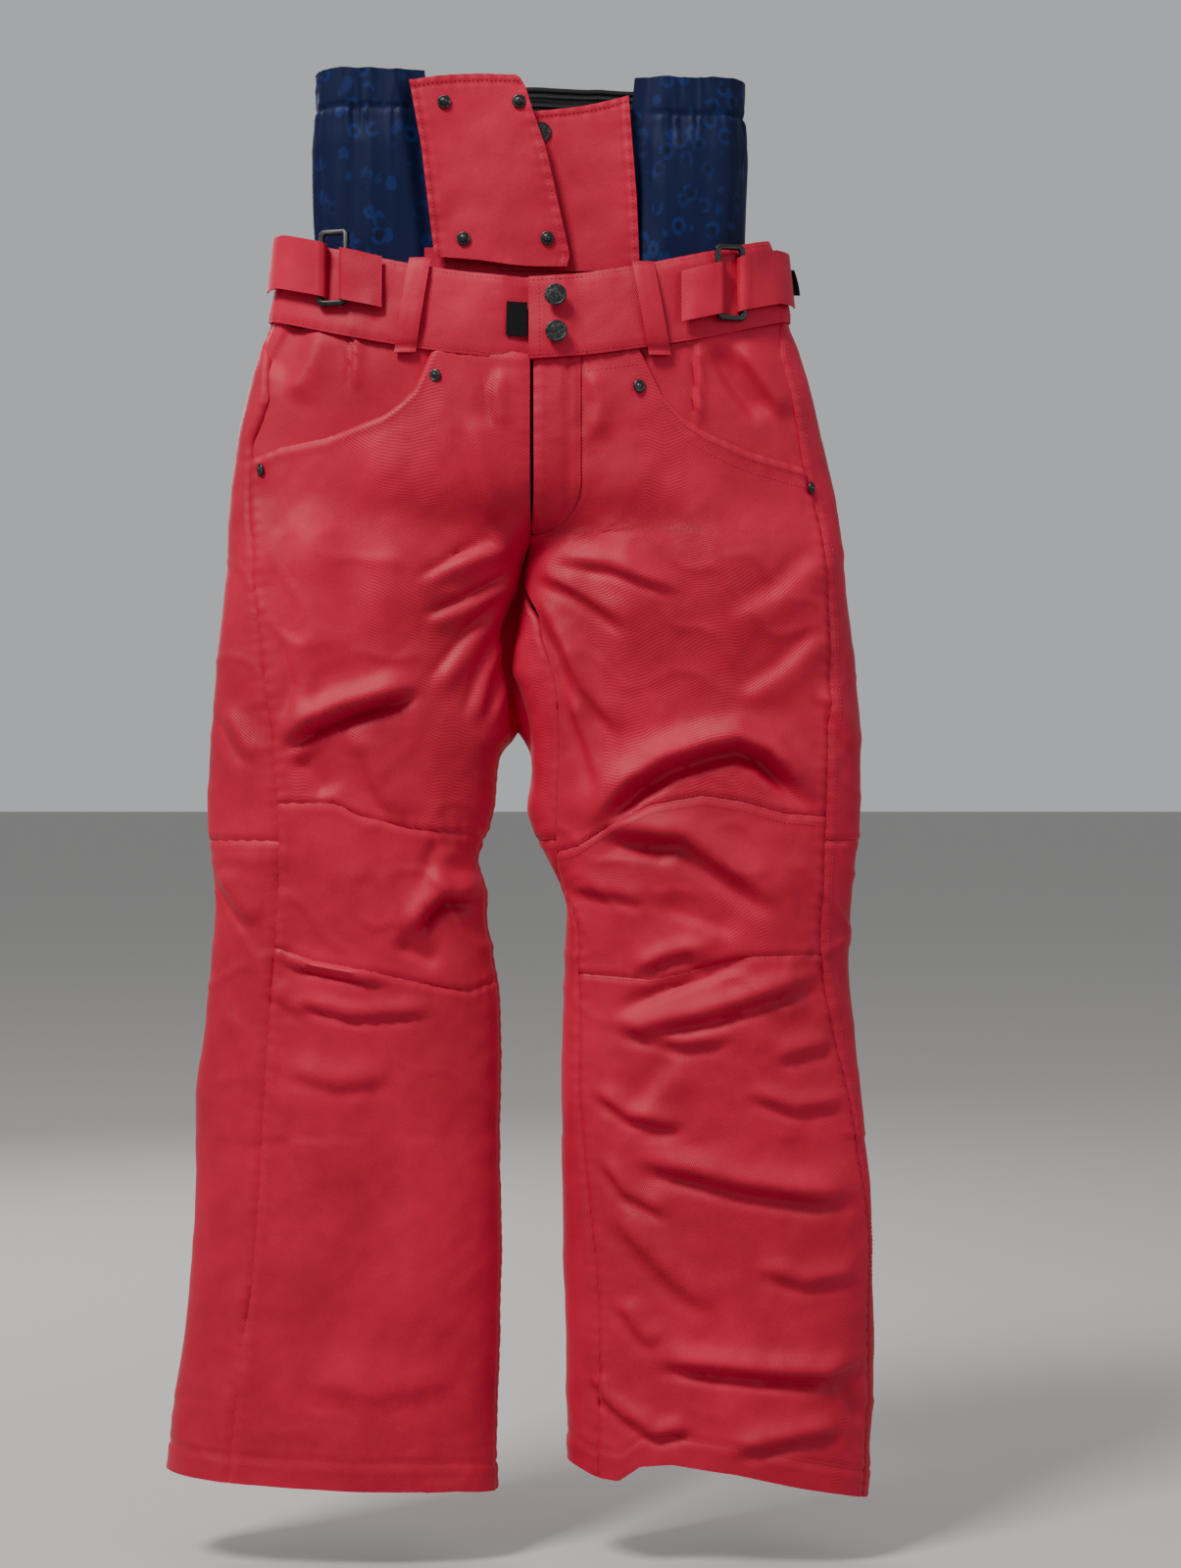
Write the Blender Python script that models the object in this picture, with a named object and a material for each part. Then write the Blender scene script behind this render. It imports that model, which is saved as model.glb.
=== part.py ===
"""Ski pants with a high waist gaiter, hanging from two clips on the gaiter's rim.

Metres, +Z up. The rim is at height 0 and the pants hang below it. The wearer's left
is +X and the front faces -Y. Run in Blender: blender --background --python part.py
"""

import math

import bmesh
import bpy
from mathutils import Matrix, Vector

# Lengths down the side, from the gaiter's rim to the hem.
GAITER_SHOWN = 0.127  # rim to waistband, at the side
BAND_HEIGHT = 0.064
HIP_LENGTH = 0.194  # waistband to crotch
HIP_FOLD = 0.100  # cloth that folds when a leg swings
THIGH_LENGTH = 0.104
KNEE_FOLD = 0.116  # cloth that folds when a knee bends
SHIN_LENGTH = 0.387
BAND_FRONT_DIP = 0.033  # how much lower the waistband lies at the centre front
BAND_BACK_RISE = 0.012  # how much higher it lies at the centre back
CROTCH_DEPTH = 0.085  # height over which the hips part into two legs
CROTCH_SEAM = 0.008  # the hip panels end this far below the crotch

# Half widths from the centre line, and half depths from front to back.
GAITER_HALF = 0.168
GAITER_DEPTH = 0.027
WAIST_HALF = 0.188
WAIST_DEPTH = 0.044
HIP_HALF = 0.224
HIP_DEPTH = 0.056
CROTCH_HALF = 0.238
CROTCH_INNER = 0.005
THIGH_HALF = 0.249
THIGH_INNER = 0.007
THIGH_DEPTH = 0.045
KNEE_HALF = 0.248
KNEE_INNER = 0.024
KNEE_DEPTH = 0.041
SHIN_HALF = 0.259
SHIN_INNER = 0.024
SHIN_DEPTH = 0.041
HEM_HALF = 0.270
HEM_INNER = 0.026
HEM_DEPTH = 0.047
ROUNDNESS = 2.3  # superellipse power of every section
BACK_CENTRE = 180.0001  # degrees round to the centre back, where the front ends at 180

# Cloth, straps and hardware.
CLOTH = 0.0024  # outer cloth with its lining
LIGHT_CLOTH = 0.0016
PIECE_GAP = 0.0005
SEAM_GAP_TURN = 1.0  # degrees between two panels that meet at a seam
BAND_OUT = 0.0030  # the waistband's face stands this far outside the panels
BAND_IN = 0.0005
SIDE_SEAM_WAIST, SIDE_SEAM_CROTCH = 36.0, 42.0  # degrees round to the front
SIDE_SEAM_KNEE, SIDE_SEAM_HEM = 58.0, 54.0

FLY_WIDTH = 0.040
FLY_LENGTH = 0.126
ZIP_INSET = 0.012
ZIP_TAPE_WIDTH, ZIP_TAPE_THICK = 0.026, 0.0008
ZIP_TEETH_WIDTH, ZIP_TEETH_THICK = 0.0056, 0.0026
ZIP_SLIT = 0.0014
SLIDER_WIDTH, SLIDER_LENGTH, SLIDER_PLATE = 0.0092, 0.011, 0.0014
PULL_LENGTH, PULL_WIDTH, PULL_THICK = 0.022, 0.0060, 0.0014
SHIELD_INSET = 0.020
SHIELD_WIDTH = 0.052

POCKET_DROP = 0.078  # side seam end of the pocket mouth, below the waistband
POCKET_MOUTH_X = 0.078  # inner end of the mouth, from the centre line
POCKET_DEPTH = 0.150
POCKET_ROOM = 0.012
POCKET_SLACK = 0.0026  # room behind the front panel for the rivets
RIVET_RADIUS = 0.0052

LOOP_WIDTH, LOOP_ROOM, LOOP_THICK = 0.017, 0.0075, 0.0018
LOOP_FOOT = 0.0018  # a belt loop's ends stand this far off the cloth
LOOP_BELOW = 0.010  # a belt loop reaches this far below the waistband
FRONT_LOOP_X, BACK_LOOP_X = 0.088, 0.110

STRAP_HEIGHT, STRAP_THICK = 0.038, 0.0014
BUCKLE_HEIGHT, BUCKLE_WIDTH, BUCKLE_BAR = 0.060, 0.024, 0.0040
KEEPER_LENGTH = 0.030
BUCKLE_X = {"right": 0.147, "left": 0.150}
BUCKLE_LIFT = {"right": 0.012, "left": 0.0}  # above the waistband's middle
TAB_END_TURN = 6.0

FLAP_THICK = 0.0016
FLAP_OUT = 0.0095  # outer face of the upper flap, in front of the gaiter
UNDER_FLAP_OUT = 0.0030
FLAP_TOP_X, FLAP_BOTTOM_X = 0.094, 0.078  # where the flaps are sewn to the gaiter
FLAP_TOP_Z = 0.010
FLAP_LIFT = 0.004  # the flaps end this far above the waistband
STUD_RADIUS, CAP_RADIUS, POST_RADIUS = 0.0052, 0.0082, 0.0021
HOLE_ROOM = 0.0004
STUD_TOP_Z, STUD_SPACING = 0.027, 0.106

ELASTIC_HEIGHT, ELASTIC_THICK = 0.042, 0.0014
SNOW_GAITER_TOP, SNOW_GAITER_BOTTOM = 0.150, 0.045  # above the hem
SNOW_GAITER_INSET, SNOW_GAITER_TAPER = 0.009, 0.007
SNOW_GAITER_THICK = 0.0012

BAND_Z = -GAITER_SHOWN
WAIST_SEAM_Z = BAND_Z - BAND_HEIGHT
CROTCH_Z = WAIST_SEAM_Z - HIP_LENGTH
HIP_END_Z = CROTCH_Z - CROTCH_SEAM
THIGH_Z = HIP_END_Z - HIP_FOLD
KNEE_Z = THIGH_Z - THIGH_LENGTH
SHIN_Z = KNEE_Z - KNEE_FOLD
HEM_Z = SHIN_Z - SHIN_LENGTH
HIP_AXIS_Z = (HIP_END_Z + THIGH_Z) / 2
KNEE_AXIS_Z = (KNEE_Z + SHIN_Z) / 2
FLY_END_Z = WAIST_SEAM_Z - BAND_FRONT_DIP - FLY_LENGTH

SIGN = {"right": -1.0, "left": 1.0}
CURVE_POWER = 2 / ROUNDNESS

# height, outer edge, inner edge, half depth, side seam's turn
LEVELS = (
    (BAND_Z, WAIST_HALF, 0.0, WAIST_DEPTH, SIDE_SEAM_WAIST),
    (WAIST_SEAM_Z, WAIST_HALF + 0.009, 0.0, WAIST_DEPTH + 0.006, SIDE_SEAM_WAIST),
    (WAIST_SEAM_Z - 0.45 * HIP_LENGTH, HIP_HALF, 0.0, HIP_DEPTH, SIDE_SEAM_WAIST + 3),
    (CROTCH_Z, CROTCH_HALF, CROTCH_INNER, THIGH_DEPTH + 0.003, SIDE_SEAM_CROTCH),
    (THIGH_Z, THIGH_HALF, THIGH_INNER, THIGH_DEPTH, SIDE_SEAM_CROTCH + 8),
    (KNEE_AXIS_Z, KNEE_HALF, KNEE_INNER, KNEE_DEPTH, SIDE_SEAM_KNEE),
    (SHIN_Z - 0.4 * SHIN_LENGTH, SHIN_HALF, SHIN_INNER, SHIN_DEPTH, SIDE_SEAM_KNEE - 2),
    (HEM_Z, HEM_HALF, HEM_INNER, HEM_DEPTH, SIDE_SEAM_HEM),
)

materials = {}


def material(name, colour, roughness, metallic=0.0):
    made = bpy.data.materials.new(name)
    made.use_nodes = True
    shader = made.node_tree.nodes["Principled BSDF"]
    shader.inputs["Base Color"].default_value = (*colour, 1.0)
    shader.inputs["Roughness"].default_value = roughness
    shader.inputs["Metallic"].default_value = metallic
    materials[name] = made


def finish(name, bm, slot, smooth=True):
    """Makes the object that holds this bmesh, with its faces pointing out."""
    bmesh.ops.recalc_face_normals(bm, faces=bm.faces)
    mesh = bpy.data.meshes.new(name)
    bm.to_mesh(mesh)
    bm.free()
    if smooth:
        mesh.shade_smooth()
        mesh.set_sharp_from_angle(angle=math.radians(35))
    mesh.materials.append(materials[slot])
    made = bpy.data.objects.new(name, mesh)
    bpy.context.scene.collection.objects.link(made)
    return made


# The pants' section at any height.


def level_at(z):
    """Outer edge, inner edge, half depth and side seam's turn at a height."""
    last = len(LEVELS) - 2
    i = next((k for k in range(last) if z >= LEVELS[k + 1][0]), last)
    before, low, high, after = (
        LEVELS[max(i - 1, 0)],
        LEVELS[i],
        LEVELS[i + 1],
        LEVELS[min(i + 2, last + 1)],
    )
    span = high[0] - low[0]
    t = min(max((z - low[0]) / span, 0.0), 1.0)
    values = []
    for k in range(1, 5):
        slope_low = (high[k] - before[k]) / (high[0] - before[0]) * span
        slope_high = (after[k] - low[k]) / (after[0] - low[0]) * span
        values.append(
            low[k] * (1 + 2 * t) * (1 - t) ** 2
            + slope_low * t * (1 - t) ** 2
            + high[k] * (3 - 2 * t) * t**2
            - slope_high * (1 - t) * t**2
        )
    return values


def rounded(value):
    return math.copysign(abs(value) ** CURVE_POWER, value)


def pants_point(side, turn, z, inset=0.0):
    """A point on the cloth. turn runs from 0 at the outer edge over the front to 180
    at the centre or inseam, and on over the back to 360."""
    outer, inner, depth, _ = level_at(z)
    angle = math.radians(turn % 360)
    front = 1.0 if angle <= math.pi else -1.0
    share = min(max((CROTCH_Z + CROTCH_DEPTH - z) / CROTCH_DEPTH, 0.0), 1.0) ** 3
    half_angle = min(angle, 2 * math.pi - angle) / 2
    hip_x = PIECE_GAP / 2 + (outer - inset) * rounded(max(math.cos(half_angle), 0.0))
    hip_y = -front * (depth - inset) * rounded(math.sin(half_angle))
    middle, half = (outer + inner) / 2, (outer - inner) / 2 - inset
    leg_x = middle + half * rounded(math.cos(angle))
    leg_y = -(depth - inset) * rounded(math.sin(angle))
    x = hip_x + (leg_x - hip_x) * share
    y = hip_y + (leg_y - hip_y) * share
    return Vector((SIGN[side] * x, y, z))


def turn_at(x, z):
    """The turn, over the front, at which the hips are x from the centre line."""
    share = min(max((x - PIECE_GAP / 2) / level_at(z)[0], 0.0), 1.0)
    return math.degrees(2 * math.acos(share ** (1 / CURVE_POWER)))


def outward(side, turn, z, level=True):
    """The way out of the cloth, kept level unless level is off."""
    turn %= 360
    low, high = (0.0, 180.0) if turn <= 180 else (BACK_CENTRE, 360.0)
    before, after = max(turn - 0.5, low), min(turn + 0.5, high)
    along = pants_point(side, after, z) - pants_point(side, before, z)
    normal = Vector((along.y, -along.x, 0.0))
    if not level:
        up = pants_point(side, turn, z + 0.001) - pants_point(side, turn, z - 0.001)
        normal = along.cross(up)
    normal.normalize()
    return normal if normal.dot(pants_point(side, turn, z)) > 0 else -normal


def slope(side, turn, z):
    """The way up the cloth."""
    up = pants_point(side, turn, z + 0.001) - pants_point(side, turn, z - 0.001)
    out = outward(side, turn, z, level=False)
    return (up - out * up.dot(out)).normalized()


def side_seam(z):
    return level_at(z)[3]


def band_top(turn):
    """Height of the waistband's upper edge."""
    half_angle = math.radians(min(turn % 360, 360 - turn % 360)) / 2
    rise = -BAND_FRONT_DIP if 0 <= turn % 360 <= 180 else BAND_BACK_RISE
    return BAND_Z + rise * (1 - math.cos(half_angle) ** 1.3)


def band_bottom(turn):
    return band_top(turn) - BAND_HEIGHT


# Building solids from grids of points and from swept sections.


def patch(first, last, top, bottom, columns, rows):
    """Rows of (turn, height) between two turns, given at a height, and two heights,
    given at a turn."""
    spots = []
    for j in range(rows + 1):
        row = []
        for i in range(columns + 1):
            z = (top(first(WAIST_SEAM_Z)) + bottom(0.0)) / 2
            for _ in range(4):
                turn = first(z) + (last(z) - first(z)) * i / columns
                z = top(turn) + (bottom(turn) - top(turn)) * j / rows
            row.append((turn, z))
        spots.append(row)
    return spots


def shell(name, outside, inside, slot, closed=False):
    """A closed solid between two equal grids of points."""
    bm = bmesh.new()
    layers = [[[bm.verts.new(p) for p in row] for row in g] for g in (outside, inside)]
    rows, columns = len(outside), len(outside[0])
    across = range(columns if closed else columns - 1)
    for layer in layers:
        for j in range(rows - 1):
            for i in across:
                k = (i + 1) % columns
                bm.faces.new(
                    (layer[j][i], layer[j][k], layer[j + 1][k], layer[j + 1][i])
                )
    out, back = layers
    for j in (0, rows - 1):
        for i in across:
            k = (i + 1) % columns
            bm.faces.new((out[j][i], out[j][k], back[j][k], back[j][i]))
    if not closed:
        for i in (0, columns - 1):
            for j in range(rows - 1):
                bm.faces.new((out[j][i], out[j + 1][i], back[j + 1][i], back[j][i]))
    return finish(name, bm, slot)


def cloth(name, side, spots, slot, inset=0.0, thick=CLOTH, closed=False):
    """A panel of the pants that covers these spots."""
    grids = [
        [[pants_point(side, turn, z, depth) for turn, z in row] for row in spots]
        for depth in (inset, inset + thick)
    ]
    return shell(name, *grids, slot, closed)


def sweep(name, frames, section, slot):
    """A closed section of (across, outward) offsets carried along frames, each of
    them (point, across, outward)."""
    bm = bmesh.new()
    rings = [
        [bm.verts.new(p + a * across + b * out) for a, b in section]
        for p, across, out in frames
    ]
    count = len(section)
    for one, two in zip(rings, rings[1:]):
        for k in range(count):
            n = (k + 1) % count
            bm.faces.new((one[k], one[n], two[n], two[k]))
    bm.faces.new(rings[0])
    bm.faces.new(list(reversed(rings[-1])))
    return finish(name, bm, slot)


def bar_section(width, thick):
    return [(-width / 2, 0), (width / 2, 0), (width / 2, thick), (-width / 2, thick)]


def placed(point, normal):
    """The matrix that puts +Z along the normal, at the point."""
    turned = normal.to_track_quat("Z", "Y").to_matrix().to_4x4()
    return Matrix.Translation(point) @ turned


def turned(name, profile, place, slot, steps=12):
    """A round piece spun from (radius, height) points that start and end at radius 0."""
    bm = bmesh.new()
    verts = [bm.verts.new((r, 0.0, h)) for r, h in profile]
    edges = [bm.edges.new(pair) for pair in zip(verts, verts[1:])]
    bmesh.ops.spin(
        bm, geom=verts + edges, axis=(0, 0, 1), angle=2 * math.pi, steps=steps
    )
    bmesh.ops.remove_doubles(bm, verts=bm.verts, dist=1e-5)
    made = finish(name, bm, slot)
    made.matrix_world = place
    return made


def drill(target, place, radius, reach=0.012):
    """Cuts a round hole through the target."""
    bm = bmesh.new()
    bmesh.ops.create_cone(
        bm, cap_ends=True, segments=10, radius1=radius, radius2=radius, depth=reach
    )
    cutter = finish(target.name + "_hole", bm, "metal", smooth=False)
    cutter.matrix_world = place
    cutter.hide_render = True
    cutter.display_type = "WIRE"
    cut = target.modifiers.new("hole", "BOOLEAN")
    cut.operation = "DIFFERENCE"
    cut.object = cutter


def notch(target, low, high):
    """Cuts the box between two corners out of the target."""
    bm = bmesh.new()
    bmesh.ops.create_cube(bm, size=1.0)
    size, middle = high - low, (high + low) / 2
    bmesh.ops.transform(
        bm,
        matrix=Matrix.Translation(middle) @ Matrix.Diagonal((*size, 1.0)),
        verts=bm.verts,
    )
    cutter = finish(target.name + "_notch", bm, "metal", smooth=False)
    cutter.hide_render = True
    cutter.display_type = "WIRE"
    cut = target.modifiers.new("notch", "BOOLEAN")
    cut.operation = "DIFFERENCE"
    cut.object = cutter


def fastener(name, panel, point, normal, radius, dome, thick, slot, back_radius):
    """A snap or rivet whose post goes through the panel, with a flange on each side.
    point is on the panel's outer face."""
    place = placed(point, normal)
    lift = PIECE_GAP
    profile = [
        (0.0, dome),
        (radius * 0.55, dome * 0.92),
        (radius, dome * 0.45),
        (radius, lift),
        (POST_RADIUS, lift),
        (POST_RADIUS, -thick - lift),
        (back_radius, -thick - lift),
        (back_radius, -thick - lift - 0.0008),
        (0.0, -thick - lift - 0.0008),
    ]
    drill(panel, place, POST_RADIUS + HOLE_ROOM)
    return turned(name, profile, place, slot)


def constant(value):
    return lambda _: value


# The pants' panels.


def pocket_edge(side, turn):
    """Height of the front panel's upper edge: the pocket mouth near the side, and the
    waistband's lower edge past the mouth's inner end."""
    mouth_end = turn_at(POCKET_MOUTH_X, WAIST_SEAM_Z)
    start = side_seam(WAIST_SEAM_Z)
    along = min(max((turn - start) / (mouth_end - start), 0.0), 1.0)
    drop = POCKET_DROP * (1 - along**2.2)
    return band_bottom(turn) - PIECE_GAP * 2 - drop


def hip_panels(side):
    gap = SEAM_GAP_TURN / 2
    bottom = constant(HIP_END_Z)

    def seam_front(z):
        return side_seam(z) + gap

    def seam_back(z):
        return 360 + side_seam(z) - gap

    def waist_edge(turn):
        return band_bottom(turn) - PIECE_GAP * 2

    front = cloth(
        f"front_panel_{side}",
        side,
        patch(seam_front, constant(180.0), lambda t: pocket_edge(side, t), bottom, 12, 8),
        "shell_cloth",
    )
    cloth(
        f"seat_{side}",
        side,
        patch(constant(BACK_CENTRE), seam_back, waist_edge, bottom, 14, 8),
        "shell_cloth",
    )
    return front


def leg_panels(side):
    gap = SEAM_GAP_TURN / 2

    def seam_front(z):
        return side_seam(z) + gap

    def seam_back(z):
        return 360 + side_seam(z) - gap

    stretches = (("thigh", THIGH_Z, KNEE_Z, 3), ("shin", SHIN_Z, HEM_Z, 7))
    for stretch, high, low, rows in stretches:
        top, bottom = constant(high - PIECE_GAP), constant(low)
        cloth(
            f"{stretch}_front_{side}",
            side,
            patch(seam_front, constant(180 - gap), top, bottom, 9, rows),
            "shell_cloth",
        )
        cloth(
            f"{stretch}_back_{side}",
            side,
            patch(constant(180 + gap), seam_back, top, bottom, 14, rows),
            "shell_cloth",
        )
    folds = (("hip_fold", HIP_END_Z, THIGH_Z), ("knee_fold", KNEE_Z, SHIN_Z))
    for fold, high, low in folds:
        around = [15.0 * i for i in range(24)]
        heights = [
            high - PIECE_GAP + (low + PIECE_GAP - high) * j / 3 for j in range(4)
        ]
        spots = [[(turn, z) for turn in around] for z in heights]
        cloth(f"{fold}_{side}", side, spots, "shell_cloth", closed=True)


def snow_gaiter(side):
    """The inner cuff that closes round the boot."""
    top, bottom = HEM_Z + SNOW_GAITER_TOP, HEM_Z + SNOW_GAITER_BOTTOM
    around = [15.0 * i for i in range(24)]
    grids = []
    for skin in (0.0, SNOW_GAITER_THICK):
        rows = []
        for j in range(5):
            share = j / 4
            z = top + (bottom - top) * share
            inset = SNOW_GAITER_INSET + SNOW_GAITER_TAPER * share + skin
            rows.append([pants_point(side, turn, z, inset) for turn in around])
        grids.append(rows)
    shell(f"snow_gaiter_{side}", *grids, "snow_gaiter_cloth", closed=True)


def pocket_bag(side):
    """The bag's facing shows in the pocket mouth, and its front layer hangs behind
    the front panel, with the pocket's room between the two."""
    near, far = side_seam(WAIST_SEAM_Z) + 6, turn_at(POCKET_MOUTH_X - 0.004, WAIST_SEAM_Z)
    columns, thick = 8, LIGHT_CLOTH
    front_inset = CLOTH + POCKET_SLACK
    back_inset = front_inset + thick * 2 + POCKET_ROOM
    grids = []
    for skin in (0.0, thick):
        rows = []
        turns = [near + (far - near) * i / columns for i in range(columns + 1)]
        # down the facing, round the bottom, and up the front layer
        steps = [("facing", k / 6) for k in range(7)]
        steps += [("fold", k / 4) for k in range(1, 4)]
        steps += [("front", k / 4) for k in range(5)]
        for part, share in steps:
            row = []
            for turn in turns:
                top = band_bottom(turn) - PIECE_GAP * 2
                low = top - POCKET_DEPTH
                if part == "facing":
                    z = top + (low - top) * share
                    ease = min(share * 2.2, 1.0)
                    inset = front_inset + (back_inset - front_inset) * ease - skin + thick
                elif part == "fold":
                    angle = math.pi * share
                    middle = (front_inset + thick + back_inset) / 2
                    reach = (back_inset - front_inset - thick) / 2
                    grown = reach + thick - skin
                    inset = middle + grown * math.cos(angle)
                    z = low - grown * math.sin(angle)
                else:
                    high = pocket_edge(side, turn) - 0.006
                    z = low + (high - low) * share
                    inset = front_inset + skin
                row.append(pants_point(side, turn, z, inset))
            rows.append(row)
        grids.append(rows)
    return shell(f"pocket_bag_{side}", *grids, "lining_cloth")


def rivets(side, panel):
    inner_turn = turn_at(POCKET_MOUTH_X - 0.004, WAIST_SEAM_Z)
    outer_turn = side_seam(WAIST_SEAM_Z - POCKET_DROP) + 7
    for end, turn, below in (("inner", inner_turn, 0.016), ("outer", outer_turn, 0.011)):
        z = pocket_edge(side, turn) - below
        fastener(
            f"pocket_rivet_{end}_{side}",
            panel,
            pants_point(side, turn, z),
            outward(side, turn, z),
            RIVET_RADIUS,
            0.0026,
            CLOTH,
            "metal",
            POST_RADIUS + 0.0006,
        )


# The waistband, with its loops, adjusters and closure.


def band_rows(spots, outset, extra=None):
    """Rows of points down the waistband at these (side, turn) spots."""
    rows = []
    for j in range(4):
        row = []
        for side, turn in spots:
            row.append(pants_point(side, turn, band_top(turn) - BAND_HEIGHT * j / 3, -outset))
        if extra is not None:
            row.append(Vector((extra, row[-1].y, row[-1].z)))
        rows.append(row)
    return rows


def band_part(name, spots, outset=BAND_OUT, thick=BAND_OUT + BAND_IN, extra=None):
    """A stretch of waistband. extra is where it ends, past the last spot."""
    grids = [band_rows(spots, out, extra) for out in (outset, outset - thick)]
    return shell(name, *grids, "shell_cloth")


def spots_between(side, first, last, columns):
    return [(side, first + (last - first) * i / columns) for i in range(columns + 1)]


def waistband():
    """The right half runs on under the overlap, and the back joins the side seams."""
    end = turn_at(FLY_WIDTH, BAND_Z) - 2
    band_part("waistband_left", spots_between("left", 0.5, end, 12))
    under_end = FLY_WIDTH * 0.75
    band_part("waistband_right", spots_between("right", 0.5, 180, 12), extra=under_end)
    back = spots_between("right", 359.5, BACK_CENTRE, 9)
    back += spots_between("left", BACK_CENTRE, 359.5, 9)[1:]
    band_part("waistband_back", back)


def fly_columns():
    return [PIECE_GAP + (FLY_WIDTH - 2 * PIECE_GAP) * i / 4 for i in range(5)]


def front_point(x, z, inset):
    """A point on the left hip's front, x from the centre line."""
    return Vector((x, pants_point("left", turn_at(x, z), z, inset).y, z))


def closure():
    """The overlapping end of the waistband, its two snaps and the fly below it."""
    outset = BAND_OUT + CLOTH + 0.0048
    grids = []
    for out in (outset, outset - CLOTH):
        rows = []
        for j in range(4):
            z = band_top(180) - BAND_HEIGHT * j / 3
            rows.append([front_point(x, z, -out) for x in fly_columns()])
        grids.append(rows)
    overlap = shell("waist_overlap", *grids, "shell_cloth")
    centre_z = band_top(180) - BAND_HEIGHT / 2
    turn = turn_at(FLY_WIDTH * 0.5, centre_z)
    ends = []
    for share in (0.40, -0.40):
        z = centre_z + share * BAND_HEIGHT
        out = outward("left", turn, z, level=False)
        point = pants_point("left", turn, z, -BAND_OUT) + out * PIECE_GAP * 2
        ends.append((point, Vector((-out.y, out.x, 0.0)).normalized(), out))
    tape = sweep("waist_stud_tape", ends, bar_section(0.011, 0.0008), "webbing")
    for part, share in (("upper", 0.22), ("lower", -0.22)):
        z = centre_z + share * BAND_HEIGHT
        out = outward("left", turn, z, level=False)
        stud = turned(
            f"waist_stud_{part}",
            [(0.0, 0.0022), (0.0022, 0.0021), (0.0022, 0.0003), (0.0, 0.0003)],
            placed(pants_point("left", turn, z, -BAND_OUT) + out * PIECE_GAP * 2, out),
            "metal",
        )
        stud.hide_render = True
        stud.display_type = "WIRE"
        join = tape.modifiers.new("stud", "BOOLEAN")
        join.operation = "UNION"
        join.object = stud
        fastener(
            f"waist_cap_{part}",
            overlap,
            pants_point("left", turn, z, -outset),
            out,
            CAP_RADIUS,
            0.0030,
            CLOTH + 0.0002,
            "metal",
            POST_RADIUS + 0.0004,
        )


def fly(front_left):
    """The facing that covers the zip, the zip itself and the shield behind it."""
    top_z = band_bottom(180) - PIECE_GAP * 2
    low = Vector((-PIECE_GAP, -0.2, FLY_END_Z))
    high = Vector((FLY_WIDTH, -0.01, BAND_Z))
    notch(front_left, low, high)
    grids = []
    for depth in (0.0, CLOTH):
        rows = []
        for j in range(7):
            z = top_z + (FLY_END_Z + PIECE_GAP - top_z) * j / 6
            rows.append([front_point(x, z, depth) for x in fly_columns()])
        grids.append(rows)
    shell("fly_facing", *grids, "shell_cloth")

    zip_x = FLY_WIDTH * 0.4
    start = pants_point("left", 180, top_z, ZIP_INSET)
    end = pants_point("left", 180, FLY_END_Z, ZIP_INSET)
    start.x = end.x = zip_x
    along = (end - start).normalized()
    across = Vector((1, 0, 0))
    out = along.cross(across).normalized()
    out = out if out.y < 0 else -out
    half_tape, half_teeth, half_slit = (
        ZIP_TAPE_WIDTH / 2,
        ZIP_TEETH_WIDTH / 2,
        ZIP_SLIT / 2,
    )
    tape, teeth = ZIP_TAPE_THICK / 2, ZIP_TEETH_THICK / 2
    half = [
        (half_slit, -teeth),
        (half_teeth, -teeth),
        (half_teeth, -tape),
        (half_tape, -tape),
        (half_tape, tape),
        (half_teeth, tape),
        (half_teeth, teeth),
        (half_slit, teeth),
    ]
    length = (end - start).length - 0.006
    stations = [start + along * (0.002 + (length - 0.002) * k) for k in (0.0, 1.0)]
    chain = sweep("zip_chain", [(p, across, out) for p in stations], half, "zip")
    mirrored = [(-a, b) for a, b in half]
    other = sweep("zip_half", [(p, across, out) for p in stations], mirrored, "zip")
    stop_frames = [
        (stations[1] - along * 0.004, across, out),
        (stations[1] + along * 0.0008, across, out),
    ]
    stop_section = [(-0.0034, -0.0019), (0.0034, -0.0019), (0.0034, 0.0019), (-0.0034, 0.0019)]
    stop = sweep("zip_stop", stop_frames, stop_section, "zip")
    for piece in (other, stop):
        piece.hide_render = True
        piece.display_type = "WIRE"
        join = chain.modifiers.new("join", "BOOLEAN")
        join.operation = "UNION"
        join.object = piece

    clear = ZIP_TEETH_THICK / 2 + 0.0003
    plate, post = clear + SLIDER_PLATE, ZIP_SLIT / 2 - 0.0002
    half_width = SLIDER_WIDTH / 2
    section = [
        (-half_width, plate),
        (-half_width, clear),
        (-post, clear),
        (-post, -clear),
        (-half_width, -clear),
        (-half_width, -plate),
        (half_width, -plate),
        (half_width, -clear),
        (post, -clear),
        (post, clear),
        (half_width, clear),
        (half_width, plate),
    ]
    slider_top = start + along * 0.003
    slider_frames = [
        (slider_top, across, out),
        (slider_top + along * SLIDER_LENGTH, across, out),
    ]
    sweep("zip_slider", slider_frames, section, "metal")
    pull_top = slider_top + along * 0.004 + out * (plate + PIECE_GAP)
    narrow = bar_section(PULL_WIDTH * 0.6, PULL_THICK)
    pull_frames = [
        (pull_top, across, out),
        (pull_top + along * PULL_LENGTH * 0.3, across, out),
        (pull_top + along * PULL_LENGTH * 0.5, across * 1.6, out),
        (pull_top + along * PULL_LENGTH, across * 1.6, out),
    ]
    sweep("zip_pull", pull_frames, narrow, "metal")

    shift = out * (ZIP_INSET - SHIELD_INSET) + across * 0.002
    shield = bar_section(SHIELD_WIDTH, CLOTH)
    ends = (start + shift, end + shift)
    sweep("fly_shield", [(p, across, out) for p in ends], shield, "shell_cloth")


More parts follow.
